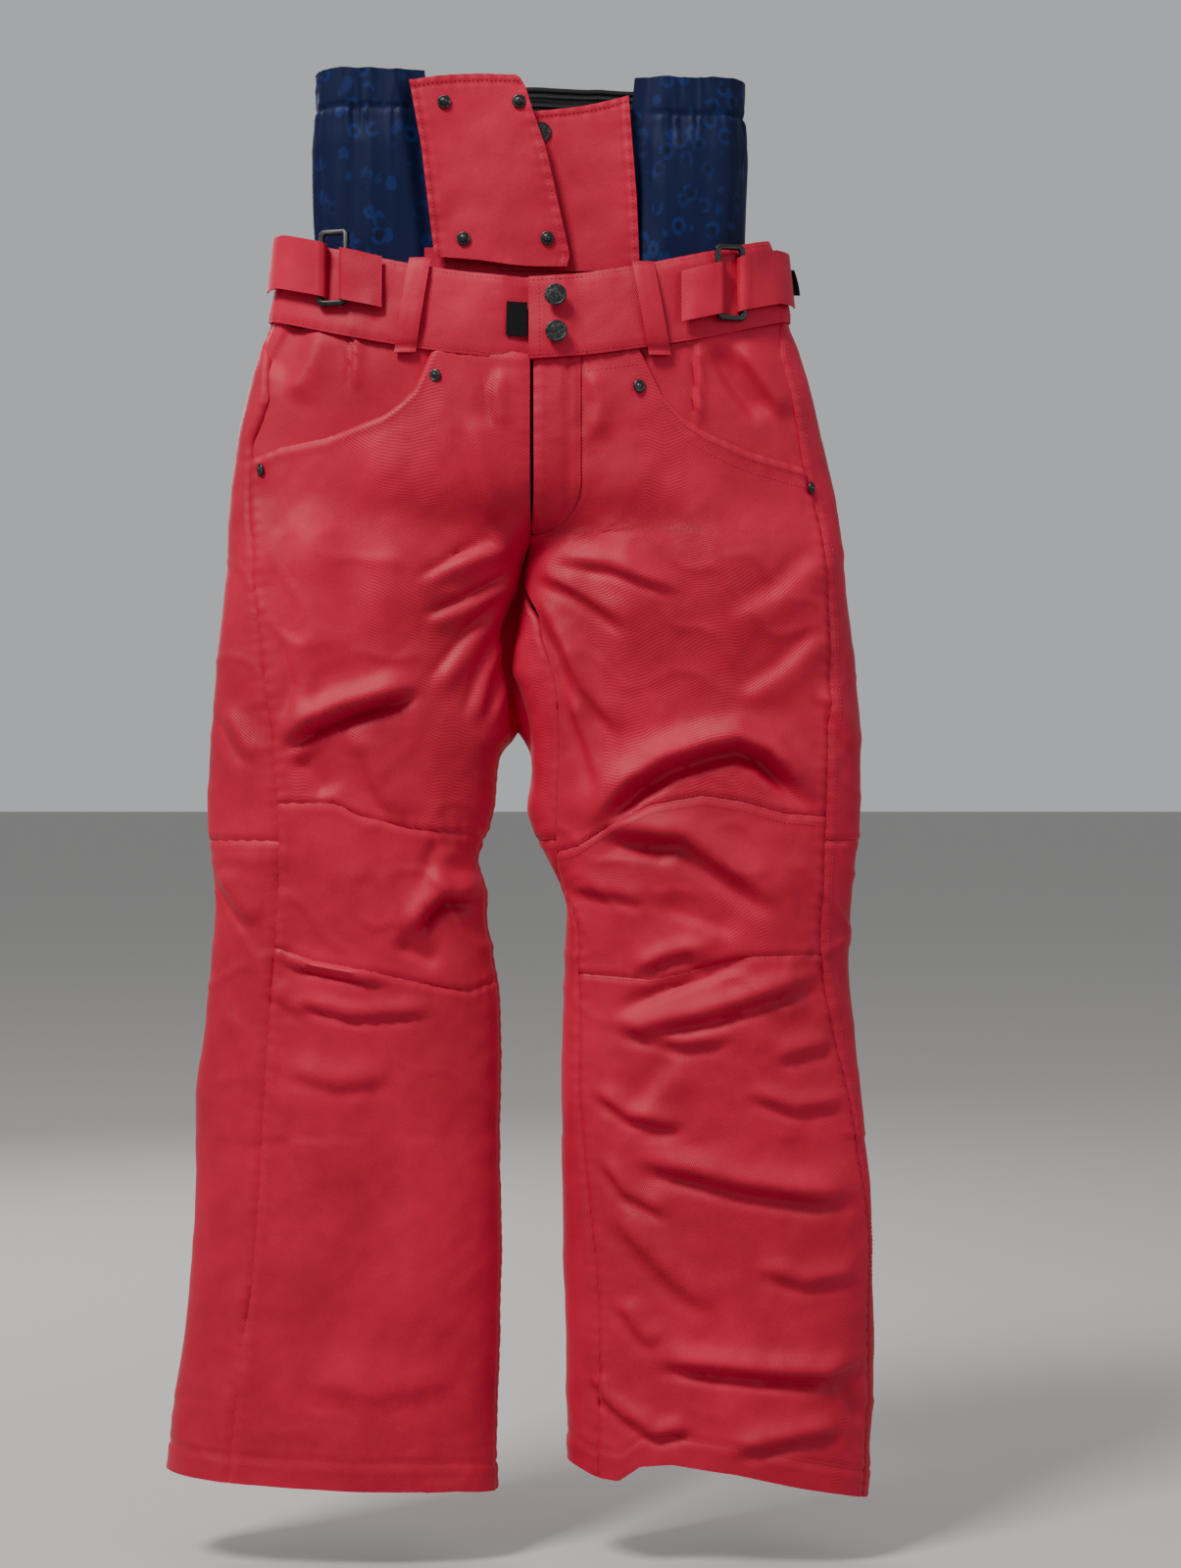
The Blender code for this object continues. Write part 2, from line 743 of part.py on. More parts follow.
def belt_loop(name, side, turn):
    """A strap that bridges the waistband, with room for a belt behind it."""
    top, bottom = band_top(turn) - 0.003, band_bottom(turn) - LOOP_BELOW
    middle, half = (top + bottom) / 2, (top - bottom) / 2
    out, up = outward(side, turn, middle, level=False), slope(side, turn, middle)
    foot = BAND_OUT + LOOP_FOOT
    reach, corner = foot + LOOP_ROOM, 0.0015
    path = [
        (half, foot, up),
        (half, reach - corner, up),
        (half - corner, reach, out),
        (corner - half, reach, out),
        (-half, reach - corner, -up),
        (-half, foot, -up),
    ]
    anchor = pants_point(side, turn, middle)
    frames = [(anchor + up * h + out * offset, up.cross(out), way) for h, offset, way in path]
    sweep(name, frames, bar_section(LOOP_WIDTH, LOOP_THICK), "shell_cloth")


def belt_loops():
    front, back = turn_at(FRONT_LOOP_X, BAND_Z), turn_at(BACK_LOOP_X, BAND_Z)
    for side in SIGN:
        belt_loop(f"belt_loop_front_{side}", side, front)
        belt_loop(f"belt_loop_back_{side}", side, 360 - back)
    belt_loop("belt_loop_centre_back", "left", BACK_CENTRE)


def strap_height(side, turn):
    return band_top(turn) - BAND_HEIGHT / 2 + BUCKLE_LIFT[side]


def strap_frames(side, turns, outset):
    """Frames along the waistband's middle height, for a strap that lies on it."""
    frames = []
    for turn in turns:
        z = strap_height(side, turn)
        out = outward(side, turn, z, level=False)
        point = pants_point(side, turn, z) + out * outset
        frames.append((point, slope(side, turn, z), out))
    return frames


def adjuster(side):
    """A keeper holds the buckle's inner bar, and the tab turns round its outer bar."""
    bar = BUCKLE_BAR / 2
    level = BAND_OUT + PIECE_GAP * 2 + STRAP_THICK + HOLE_ROOM + bar
    turn = turn_at(BUCKLE_X[side], BAND_Z)
    z = strap_height(side, turn)
    out = outward(side, turn, z, level=False)
    up = Vector((0, 0, 1))
    toward_side = up.cross(out).normalized() * -1
    toward_side *= 1 if toward_side.x * SIGN[side] > 0 else -1
    up = toward_side.cross(out).normalized()
    up *= 1 if up.z > 0 else -1
    middle = pants_point(side, turn, z) + out * level
    reach = BUCKLE_WIDTH / 2 - bar
    inner_bar, outer_bar = middle - toward_side * reach, middle + toward_side * reach

    bm = bmesh.new()
    loops = []
    half_w, half_h, cut = BUCKLE_WIDTH / 2, BUCKLE_HEIGHT / 2, 0.003
    for level_out in (bar, -bar):
        for shrink, corner in ((0.0, cut), (BUCKLE_BAR, 0.0012)):
            w, h = half_w - shrink, half_h - shrink
            outline = [(w, h - corner), (w - corner, h), (corner - w, h), (-w, h - corner)]
            outline += [(-a, -b) for a, b in outline]
            loops.append(
                [
                    bm.verts.new(middle + toward_side * a + up * b + out * level_out)
                    for a, b in outline
                ]
            )
    front_outer, front_inner, back_outer, back_inner = loops
    for k in range(8):
        n = (k + 1) % 8
        for one, two in (
            (front_outer, front_inner),
            (back_outer, back_inner),
            (front_outer, back_outer),
            (front_inner, back_inner),
        ):
            bm.faces.new((one[k], one[n], two[n], two[k]))
    finish(f"buckle_{side}", bm, "buckle_plastic", smooth=False)

    section = bar_section(STRAP_HEIGHT, STRAP_THICK)
    wrap = bar * math.sqrt(2) + HOLE_ROOM
    half_circle = [math.radians(a) for a in (-90, -60, -30, 0, 30, 60, 90)]
    keeper = []
    inward = -toward_side
    for part in (-1, 1):
        run = [
            (inner_bar + inward * along + out * part * wrap, up, out * part)
            for along in (KEEPER_LENGTH, KEEPER_LENGTH * 0.5, 0.004)
        ]
        if part < 0:
            keeper += run
            keeper += [
                (
                    inner_bar + (toward_side * math.cos(a) + out * math.sin(a)) * wrap,
                    up,
                    toward_side * math.cos(a) + out * math.sin(a),
                )
                for a in half_circle
            ]
        else:
            keeper += list(reversed(run))
    sweep(f"adjuster_keeper_{side}", keeper, section, "shell_cloth")

    start_turn = turn_at(BUCKLE_X[side] + 0.014, BAND_Z)
    turns = [start_turn + (TAB_END_TURN - start_turn) * k / 7 for k in range(8)]
    tab = [
        (
            outer_bar + (inward * math.cos(a) + out * math.sin(a)) * wrap,
            up,
            inward * math.cos(a) + out * math.sin(a),
        )
        for a in half_circle
    ]
    tab += strap_frames(side, turns, level + wrap)
    sweep(f"adjuster_tab_{side}", tab, section, "shell_cloth")


# The waist gaiter, which stands above the waistband.


def flap_seam_x(z):
    """Where a flap is sewn to the gaiter's front, at a height."""
    bottom = band_top(180)
    share = min(max(z / bottom, 0.0), 1.0)
    return FLAP_TOP_X + (FLAP_BOTTOM_X - FLAP_TOP_X) * share


def gaiter():
    bottom = WAIST_SEAM_Z + 0.004
    heights = [0.0, -0.036, -0.080, -GAITER_SHOWN, bottom]
    straight = GAITER_HALF - GAITER_DEPTH
    clip_edge = straight - 0.030
    for side in SIGN:
        grids = []
        for depth in (0.0, LIGHT_CLOTH):
            rows = []
            for z in heights:
                y = GAITER_DEPTH - depth
                row = [(flap_seam_x(z) + 0.001, -y), (clip_edge, -y)]
                row += [
                    (straight + y * math.cos(a), y * math.sin(a))
                    for a in [math.radians(-90 + 22.5 * k) for k in range(9)]
                ]
                rows.append([Vector((SIGN[side] * x, v, z)) for x, v in row])
            grids.append(rows)
        shell(f"gaiter_side_{side}", *grids, "print_cloth")
    across = [straight - 0.001 - (2 * straight - 0.002) * k / 6 for k in range(7)]
    grids = [
        [[Vector((x, y, z)) for x in across] for z in heights]
        for y in (GAITER_DEPTH, GAITER_DEPTH - LIGHT_CLOTH)
    ]
    shell("gaiter_back", *grids, "print_cloth")
    inner = GAITER_DEPTH - LIGHT_CLOTH - PIECE_GAP
    grids = [
        [[Vector((x, y, z)) for x in (-straight, 0.0, straight)] for z in (-0.001, -ELASTIC_HEIGHT)]
        for y in (inner, inner - ELASTIC_THICK)
    ]
    shell("gaiter_elastic", *grids, "elastic")


def flap(name, sign, edge, out, top_drop):
    """A flat flap, sewn along its outer edge. edge lists (x, height) down its free
    edge, with x measured towards the other flap."""
    face = -GAITER_DEPTH - out
    grids = []
    rows = len(edge)
    for y in (face, face + FLAP_THICK):
        grid = []
        for j, (free_x, z) in enumerate(edge):
            sewn_top = -FLAP_TOP_Z - top_drop
            sewn_low = band_top(turn_at(FLAP_BOTTOM_X, BAND_Z)) + FLAP_LIFT
            sewn_z = sewn_top + (sewn_low - sewn_top) * j / (rows - 1)
            sewn_x = flap_seam_x(sewn_z)
            grid.append(
                [
                    Vector((sign * (sewn_x + (-free_x - sewn_x) * k / 6), y, sewn_z + (z - sewn_z) * k / 6))
                    for k in range(7)
                ]
            )
        grids.append(grid)
    return shell(name, *grids, "shell_cloth")


def gaiter_flaps():
    bottom = band_top(180) + FLAP_LIFT
    upper_edge = [(0.002, -0.010), (0.006, -0.030), (0.012, -0.060), (0.019, -0.100), (0.030, bottom)]
    under_edge = [(0.008, -0.030), (0.012, -0.060), (0.017, -0.100), (0.024, bottom)]
    upper = flap("gaiter_flap_right", -1.0, upper_edge, FLAP_OUT, 0.0)
    under = flap("gaiter_flap_left", 1.0, under_edge, UNDER_FLAP_OUT, 0.010)
    face = -GAITER_DEPTH
    front = Vector((0, -1, 0))
    studs = (
        ("outer_upper", -0.066, -STUD_TOP_Z),
        ("inner_upper", -0.008, -STUD_TOP_Z),
        ("outer_lower", -0.051, -STUD_TOP_Z - STUD_SPACING),
        ("inner_lower", 0.014, -STUD_TOP_Z - STUD_SPACING),
    )
    for part, x, z in studs:
        point = Vector((x, face - FLAP_OUT, z))
        fastener(
            f"gaiter_stud_{part}", upper, point, front, STUD_RADIUS, 0.0022, FLAP_THICK, "metal", 0.0030
        )
    for part, x, z in (("upper", 0.009, -0.049), ("lower", -0.006, -0.139)):
        point = Vector((x, face - UNDER_FLAP_OUT, z))
        fastener(
            f"gaiter_cap_{part}", under, point, front, CAP_RADIUS, 0.0022, FLAP_THICK, "metal", 0.0030
        )


def loop_patch():
    """The black hook-and-loop patch on the waistband's underlap."""
    x_low, x_high = -0.016, -0.001
    z = band_top(180) - BAND_HEIGHT * 0.47
    frames = []
    for x in (x_low, x_high):
        turn = turn_at(-x, BAND_Z)
        point = pants_point("right", turn, z - 0.014, -BAND_OUT - PIECE_GAP)
        frames.append((Vector((x, point.y, z)), Vector((0, 0, 1)), Vector((0, -1, 0))))
    sweep("loop_patch", frames, bar_section(0.028, 0.0012), "webbing")


def main():
    for existing in list(bpy.data.objects):
        bpy.data.objects.remove(existing)
    material("shell_cloth", (0.72, 0.045, 0.085), 0.62)
    material("print_cloth", (0.012, 0.020, 0.070), 0.55)
    material("lining_cloth", (0.60, 0.040, 0.075), 0.75)
    material("snow_gaiter_cloth", (0.030, 0.032, 0.040), 0.70)
    material("elastic", (0.012, 0.012, 0.014), 0.80)
    material("webbing", (0.010, 0.010, 0.012), 0.85)
    material("zip", (0.55, 0.040, 0.070), 0.50)
    material("metal", (0.060, 0.060, 0.058), 0.35, 0.9)
    material("buckle_plastic", (0.012, 0.012, 0.013), 0.45)
    for side in SIGN:
        front = hip_panels(side)
        rivets(side, front)
        pocket_bag(side)
        leg_panels(side)
        snow_gaiter(side)
        adjuster(side)
        if side == "left":
            fly(front)
    waistband()
    closure()
    belt_loops()
    loop_patch()
    gaiter()
    gaiter_flaps()


main()
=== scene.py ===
# Ski pants with a waist gaiter, hung from the gaiter's rim. Metres, front facing -Y.
import math

import bmesh
import bpy
import numpy as np
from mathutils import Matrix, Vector


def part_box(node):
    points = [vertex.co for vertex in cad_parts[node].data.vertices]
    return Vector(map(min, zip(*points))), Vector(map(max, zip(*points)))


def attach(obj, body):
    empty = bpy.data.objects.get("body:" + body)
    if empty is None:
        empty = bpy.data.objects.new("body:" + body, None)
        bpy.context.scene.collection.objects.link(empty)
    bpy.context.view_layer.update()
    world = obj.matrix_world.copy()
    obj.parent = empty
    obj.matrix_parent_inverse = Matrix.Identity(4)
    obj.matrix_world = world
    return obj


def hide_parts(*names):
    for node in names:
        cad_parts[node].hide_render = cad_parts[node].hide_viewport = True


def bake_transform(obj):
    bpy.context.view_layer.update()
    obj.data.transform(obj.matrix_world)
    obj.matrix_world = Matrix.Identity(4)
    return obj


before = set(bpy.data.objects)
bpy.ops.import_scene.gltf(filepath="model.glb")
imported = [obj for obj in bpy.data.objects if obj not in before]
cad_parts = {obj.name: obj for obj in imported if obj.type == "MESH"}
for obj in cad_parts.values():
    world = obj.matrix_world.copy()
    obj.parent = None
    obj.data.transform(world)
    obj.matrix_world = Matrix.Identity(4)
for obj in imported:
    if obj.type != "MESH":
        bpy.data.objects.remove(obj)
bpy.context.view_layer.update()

print("pants: frame loaded")

# Camera, floor and light.

studio = {
    "eye": (0.0475, -2.235, -0.556),
    "lens": 65.1,
    "floor": -1.165,
    "floorColour": (0.40, 0.385, 0.37, 1),
    "keyPower": 58.0,
    "keyGain": 4.2,
    "backGain": 0.55,
    "fillPower": 6.0,
    "sky": (0.80, 0.82, 0.84, 1),
    "skyStrength": 0.56,
}


def addObject(name, data):
    made = bpy.data.objects.new(name, data)
    bpy.context.scene.collection.objects.link(made)
    return made


def aim(thing, target):
    thing.rotation_euler = (Vector(target) - thing.location).to_track_quat("-Z", "Y").to_euler()


def makeLight(name, place, target, size, power, colour=(1, 1, 1)):
    light = bpy.data.lights.new(name, "AREA")
    light.shape = "SQUARE"
    light.size = size
    light.energy = power
    light.color = colour
    made = addObject(name, light)
    made.location = place
    aim(made, target)


def setStudio(s):
    camera = bpy.data.cameras.new("frontCamera")
    camera.lens = s["lens"]
    camera.sensor_width = 36
    camera.dof.use_dof = False
    made = addObject("frontCamera", camera)
    made.location = s["eye"]
    made.rotation_euler = (math.radians(90), 0, 0)
    bpy.context.scene.camera = made
    key = s["keyPower"]
    makeLight("keyLight", (-1.75, -2.05, 3.0), (0, 0, -0.20), 1.1, key * s["keyGain"], (1, 0.98, 0.96))
    makeLight("sideLight", (1.5, -1.2, 0.2), (0, 0, -0.35), 1.0, s["fillPower"], (0.93, 0.96, 1))
    makeLight("backLight", (-0.9, 1.9, 0.5), (0, 0, -0.5), 1.2, key * s["backGain"])
    world = bpy.data.worlds.new("paleRoom")
    world.use_nodes = True
    world.node_tree.nodes["Background"].inputs["Color"].default_value = s["sky"]
    world.node_tree.nodes["Background"].inputs["Strength"].default_value = s["skyStrength"]
    bpy.context.scene.world = world
    reach = 60
    floor = bpy.data.meshes.new("studioFloor")
    corners = [(x * reach, y * reach, s["floor"]) for x, y in ((-1, -1), (1, -1), (1, 1), (-1, 1))]
    floor.from_pydata(corners, [], [(0, 1, 2, 3)])
    made = addObject("studioFloor", floor)
    pale = bpy.data.materials.new("paleFloor")
    pale.use_nodes = True
    pale.node_tree.nodes["Principled BSDF"].inputs["Base Color"].default_value = s["floorColour"]
    pale.node_tree.nodes["Principled BSDF"].inputs["Roughness"].default_value = 0.9
    floor.materials.append(pale)


setStudio(studio)


# One socket of a shader. Sums and products of wires add Math nodes.


class Wire:
    def __init__(self, tree, socket=None):
        self.tree = tree
        self.socket = socket

    def node(self, kind, settings=None, values=None, out=0):
        made = self.tree.nodes.new(kind)
        for name, value in (settings or {}).items():
            if name == "stops":
                stops = made.color_ramp.elements
                stops.remove(stops[1])
                stops[0].position, stops[0].color = value[0]
                for position, colour in value[1:]:
                    stops.new(position).color = colour
            else:
                setattr(made, name, value)
        for name, value in (values or {}).items():
            if isinstance(value, Wire):
                self.tree.links.new(value.socket, made.inputs[name])
            else:
                made.inputs[name].default_value = value
        return Wire(self.tree, made.outputs[out])

    def math(self, operation, *values):
        return self.node("ShaderNodeMath", {"operation": operation}, dict(enumerate((self, *values))))

    def __add__(self, other):
        return self.math("ADD", other)

    __radd__ = __add__

    def __mul__(self, other):
        return self.math("MULTIPLY", other)

    __rmul__ = __mul__

    def __sub__(self, other):
        return self.math("SUBTRACT", other)

    def __rsub__(self, other):
        return self.node("ShaderNodeMath", {"operation": "SUBTRACT"}, {0: other, 1: self})

    def __truediv__(self, other):
        return self.math("DIVIDE", other)

    def sin(self):
        return self.math("SINE")

    def step(self, low, high):
        return self.node(
            "ShaderNodeMapRange",
            {"interpolation_type": "SMOOTHSTEP"},
            {"Value": self, "From Min": low, "From Max": high},
        )

    def mix(self, first, second):
        # this wire is the share of the second colour
        return self.node(
            "ShaderNodeMix", {"data_type": "RGBA"}, {0: self, 6: first, 7: second}, out=2
        )

    def noise(self, scale, detail=2.0, rough=0.5, place=None):
        values = {"Scale": scale, "Detail": detail, "Roughness": rough}
        values["Vector"] = place or self.place()
        return self.node("ShaderNodeTexNoise", {}, values)

    def place(self):
        return self.node("ShaderNodeTexCoord", out=3)

    def weave(self):
        # the cloth's own width and length, in metres
        split = self.node("ShaderNodeUVMap", {"uv_map": "clothMap"})
        split = self.node("ShaderNodeSeparateXYZ", {}, {0: split})
        owner = split.socket.node
        return Wire(self.tree, owner.outputs[0]), Wire(self.tree, owner.outputs[1])

    def bump(self, height, distance, strength=1.0, under=None):
        values = {"Height": height, "Distance": distance, "Strength": strength}
        if under:
            values["Normal"] = under
        return self.node("ShaderNodeBump", {}, values)


finishes = {}


def makeFinish(name, constants, paint):
    made = bpy.data.materials.new(name)
    made.use_nodes = True
    tree = made.node_tree
    shader = tree.nodes["Principled BSDF"]
    for socket, value in constants.items():
        shader.inputs[socket].default_value = value
    for socket, wire in paint(Wire(tree)).items():
        tree.links.new(wire.socket, shader.inputs[socket])
    finishes[name] = made


# Every cloth and hard finish: colours are linear, sizes are metres.
cloth = {
    "bright": (0.55, 0.003, 0.040, 1),
    "deep": (0.32, 0.001, 0.019, 1),
    "twillPitch": 0.0021,
    "twillDepth": 0.00020,
    "slubScale": 900.0,
    "roughLow": 0.43,
    "roughSpan": 0.16,
}


def paintShell(w):
    across, along = w.weave()
    pitch = 2 * math.pi / cloth["twillPitch"]
    twill = ((across + along * 0.8) * pitch).sin() * 0.5 + 0.5
    yarn = ((across - along * 1.1) * (pitch * 0.9)).sin() * 0.5 + 0.5
    slub = w.noise(cloth["slubScale"], 1.0)
    cloud = w.noise(9.0, 3.0, 0.55)
    worn = w.noise(55.0, 3.0, 0.6)
    share = cloud.step(0.30, 0.70) * 0.45 + twill * 0.22 + worn.step(0.35, 0.75) * 0.18 + slub * 0.12
    height = twill * 0.6 + yarn * 0.25 + slub * 0.4
    soft = w.bump(worn, 0.0012, 0.35)
    return {
        "Base Color": share.mix(cloth["deep"], cloth["bright"]),
        "Roughness": cloud.step(0.25, 0.75) * cloth["roughSpan"] + cloth["roughLow"] + slub * 0.08,
        "Normal": w.bump(height, cloth["twillDepth"], 0.8, soft),
    }


# a darker red lining: the pocket bags' own colour, and painted shade on the fly shield, whose darkness stands
# for the shade behind the zip
def paintLiningAndShieldShade(w):
    across, along = w.weave()
    pitch = 2 * math.pi / 0.0011
    warp = (across * pitch).sin() * (along * pitch).sin()
    tone = w.noise(22.0, 3.0).step(0.3, 0.7)
    return {
        "Base Color": tone.mix((0.20, 0.010, 0.018, 1), (0.30, 0.014, 0.028, 1)),
        "Roughness": tone * 0.12 + 0.5,
        "Normal": w.bump(warp, 0.00008, 0.7),
    }


leopard = {
    "spots": 72.0,
    "ground": (0.0040, 0.0075, 0.0380, 1),
    "ring": (0.0060, 0.0170, 0.0880, 1),
    "heart": (0.0035, 0.0052, 0.018, 1),
}


def paintPrint(w):
    # broken rings round scattered hearts
    spot = w.place()
    sway = w.noise(60.0, 2.0, 0.5)
    bent = w.node("ShaderNodeVectorMath", {"operation": "MULTIPLY"}, {0: spot, 1: (1.0, 0.6, 0.82)})
    cells = w.node("ShaderNodeTexVoronoi", {"feature": "F1"}, {"Vector": bent, "Scale": leopard["spots"]})
    reach = cells + (sway - 0.5) * 0.34
    ring = reach.step(0.19, 0.26) * (1 - reach.step(0.38, 0.46))
    gaps = w.noise(95.0, 1.0).step(0.38, 0.52)
    heart = 1 - reach.step(0.10, 0.20)
    fade = w.noise(26.0, 2.0).step(0.30, 0.62) * 0.65 + 0.35
    base = (heart * 0.7).mix(leopard["ground"], leopard["heart"])
    thread = w.noise(1500.0, 1.0)
    return {
        "Base Color": (ring * gaps * fade).mix(base, leopard["ring"]),
        "Roughness": thread * 0.15 + 0.48,
        "Normal": w.bump(thread, 0.0001, 0.6),
    }


def paintElastic(w):
    across, along = w.weave()
    ribs = (along * (2 * math.pi / 0.0042)).sin() * 0.5 + 0.5
    knit = (across * (2 * math.pi / 0.0011)).sin() * 0.5 + 0.5
    return {
        "Base Color": (ribs * 0.7 + knit * 0.2).mix((0.004, 0.004, 0.0045, 1), (0.020, 0.020, 0.022, 1)),
        "Roughness": knit * 0.15 + 0.6,
        "Normal": w.bump(ribs + knit * 0.3, 0.0005, 0.9),
    }


def paintWebbing(w):
    across, along = w.weave()
    pitch = 2 * math.pi / 0.0012
    chain = (across * pitch).sin() * (along * pitch * 0.5).sin()
    fuzz = w.noise(1400.0, 2.0)
    return {
        "Base Color": (chain * 0.35 + fuzz * 0.5).mix((0.002, 0.002, 0.0025, 1), (0.011, 0.011, 0.012, 1)),
        "Roughness": fuzz * 0.2 + 0.62,
        "Normal": w.bump(chain + fuzz * 0.8, 0.0003, 0.9),
    }


def paintMetal(w):
    wear = w.noise(420.0, 4.0, 0.65).step(0.45, 0.72)
    marks = w.node(
        "ShaderNodeTexNoise", {}, {"Vector": w.node(
            "ShaderNodeVectorMath", {"operation": "MULTIPLY"}, {0: w.place(), 1: (300.0, 300.0, 2600.0)}
        ), "Scale": 1.0, "Detail": 2.0}
    )
    return {
        "Base Color": wear.mix((0.035, 0.035, 0.038, 1), (0.12, 0.115, 0.11, 1)),
        "Roughness": marks * 0.22 + 0.24 + wear * 0.1,
        "Normal": w.bump(marks + wear, 0.00003, 0.5),
    }


def paintPlastic(w):
    grain = w.noise(2200.0, 2.0)
    rub = w.noise(160.0, 3.0).step(0.5, 0.8)
    return {
        "Base Color": rub.mix((0.002, 0.002, 0.0025, 1), (0.009, 0.009, 0.010, 1)),
        "Roughness": grain * 0.12 + 0.34 + rub * 0.1,
        "Normal": w.bump(grain, 0.00005, 0.6),
    }


def paintZip(w):
    across, along = w.weave()
    pitch = 2 * math.pi / 0.0010
    herring = ((across + along) * pitch).sin() * 0.5 + 0.5
    return {
        "Base Color": herring.mix((0.010, 0.008, 0.009, 1), (0.030, 0.022, 0.024, 1)),
        "Roughness": herring * 0.1 + 0.6,
        "Normal": w.bump(herring, 0.0001, 0.8),
    }


def paintCuff(w):
    across, along = w.weave()
    pitch = 2 * math.pi / 0.0016
    rip = ((across * pitch).sin() * (along * pitch).sin()).step(0.2, 0.9)
    tone = w.noise(30.0, 2.0)
    return {
        "Base Color": tone.mix((0.012, 0.013, 0.018, 1), (0.026, 0.028, 0.036, 1)),
        "Roughness": tone * 0.15 + 0.42,
        "Normal": w.bump(rip, 0.0001, 0.8),
    }


def paintThread(w):
    twist = w.noise(2600.0, 1.0)
    return {
        "Base Color": twist.mix((0.34, 0.003, 0.030, 1), (0.50, 0.006, 0.048, 1)),
        "Roughness": twist * 0.2 + 0.45,
        "Normal": w.bump(twist, 0.0001, 0.6),
    }


softCloth = {"Sheen Weight": 0.03, "Sheen Roughness": 0.45, "Specular IOR Level": 0.28}
makeFinish("coralShell", softCloth, paintShell)
# the lining red, which is also painted shade on the fly shield
makeFinish("darkLining", {"Sheen Weight": 0.1}, paintLiningAndShieldShade)
makeFinish("navyPrint", {"Specular IOR Level": 0.12}, paintPrint)
makeFinish("ribElastic", {"Specular IOR Level": 0.15}, paintElastic)
makeFinish("blackWebbing", {"Specular IOR Level": 0.15}, paintWebbing)
makeFinish("gunMetal", {"Metallic": 0.85}, paintMetal)
makeFinish("buckleBlack", {"Specular IOR Level": 0.5}, paintPlastic)
makeFinish("zipTape", {"Sheen Weight": 0.1}, paintZip)
makeFinish("cuffCloth", {"Sheen Weight": 0.1}, paintCuff)
makeFinish("coralThread", {"Sheen Weight": 0.2}, paintThread)
print("pants: finishes made")

# Mesh helpers.


def smoothAt(places, values, at):
    # a smooth curve through the values, with places rising
    places, values = np.asarray(places, float), np.asarray(values, float)
    slopes = np.gradient(values, places)
    at = np.clip(at, places[0], places[-1])
    i = np.clip(np.searchsorted(places, at) - 1, 0, len(places) - 2)
    span = places[i + 1] - places[i]
    t = (at - places[i]) / span
    return (
        values[i] * (1 + 2 * t) * (1 - t) ** 2
        + slopes[i] * span * t * (1 - t) ** 2
        + values[i + 1] * (3 - 2 * t) * t**2
        - slopes[i + 1] * span * (1 - t) * t**2
    )


def ease(t):
    t = np.clip(t, 0, 1)
    return t * t * (3 - 2 * t)


def wobble(u, v, size, seed, tall=1.0):
    # smooth noise from -1 to 1, stretched along v
    grid = np.random.default_rng(seed).uniform(-1, 1, (61, 61))
    u, v = np.asarray(u) / size + 500, np.asarray(v) / (size * tall) + 500
    i, j = np.floor(u).astype(int), np.floor(v).astype(int)
    a, b = ease(u - i), ease(v - j)
    i, j = i % 60, j % 60
    top = grid[i, j] * (1 - a) + grid[i + 1, j] * a
    low = grid[i, j + 1] * (1 - a) + grid[i + 1, j + 1] * a
    return top * (1 - b) + low * b


def foldHeight(u, v, line, tall, wide, steep=1.0):
    # a crest along the line; to the right of its direction it drops into a crease
    line = np.asarray(line, float) / 1000
    spans = np.linalg.norm(np.diff(line, axis=0), axis=1)
    total = spans.sum()
    nearest = np.full(np.shape(u), 1e9)
    along = np.zeros(np.shape(u))
    gone = 0.0
    for a, b, span in zip(line[:-1], line[1:], spans):
        d = (b - a) / span
        t = np.clip((u - a[0]) * d[0] + (v - a[1]) * d[1], 0, span)
        offU, offV = u - a[0] - t * d[0], v - a[1] - t * d[1]
        away = np.hypot(offU, offV) * np.where(d[0] * offV - d[1] * offU >= 0, 1, -1)
        closer = np.abs(away) < np.abs(nearest)
        nearest = np.where(closer, away, nearest)
        along = np.where(closer, gone + t, along)
        gone += span
    wide = wide / 1000
    crest = np.exp(-((nearest / (wide * np.where(nearest > 0, 1.5, 0.7))) ** 2))
    crease = np.exp(-(((nearest + 1.4 * wide) / (0.65 * wide)) ** 2)) * 0.7
    fade = ease(along / total / 0.25) * ease((1 - along / total) / 0.25)
    return tall / 1000 * (crest - steep * crease) * fade


def gridNormals(points):
    down = np.gradient(points, axis=0)
    across = np.gradient(points, axis=1)
    normal = np.cross(across, down)
    return normal / (np.linalg.norm(normal, axis=2, keepdims=True) + 1e-12)


def meshObject(name, points, faces, finish, maps):
    mesh = bpy.data.meshes.new(name)
    mesh.from_pydata([tuple(p) for p in points], [], [tuple(f) for f in faces])
    layer = mesh.uv_layers.new(name="clothMap")
    corner = np.empty(len(mesh.loops), np.int32)
    mesh.loops.foreach_get("vertex_index", corner)
    layer.data.foreach_set("uv", np.asarray(maps, np.float32)[corner].ravel())
    mesh.shade_smooth()
    mesh.materials.append(finishes[finish])
    return addObject(name, mesh)


def signedVolume(points, faces):
    a, b, c = (points[faces[:, k]] for k in (0, 1, 2))
    d = points[faces[:, 3]]
    return (np.cross(a, b) * c).sum() + (np.cross(a, c) * d).sum()


def clothMaps(points):
    across = np.linalg.norm(np.diff(points, axis=1), axis=2).mean(0)
    down = np.linalg.norm(np.diff(points, axis=0), axis=2)
    u = np.concatenate([[0], np.cumsum(across)])
    v = np.concatenate([np.zeros((1, points.shape[1])), np.cumsum(down, axis=0)])
    return np.stack([np.broadcast_to(u, v.shape), -v], axis=2)


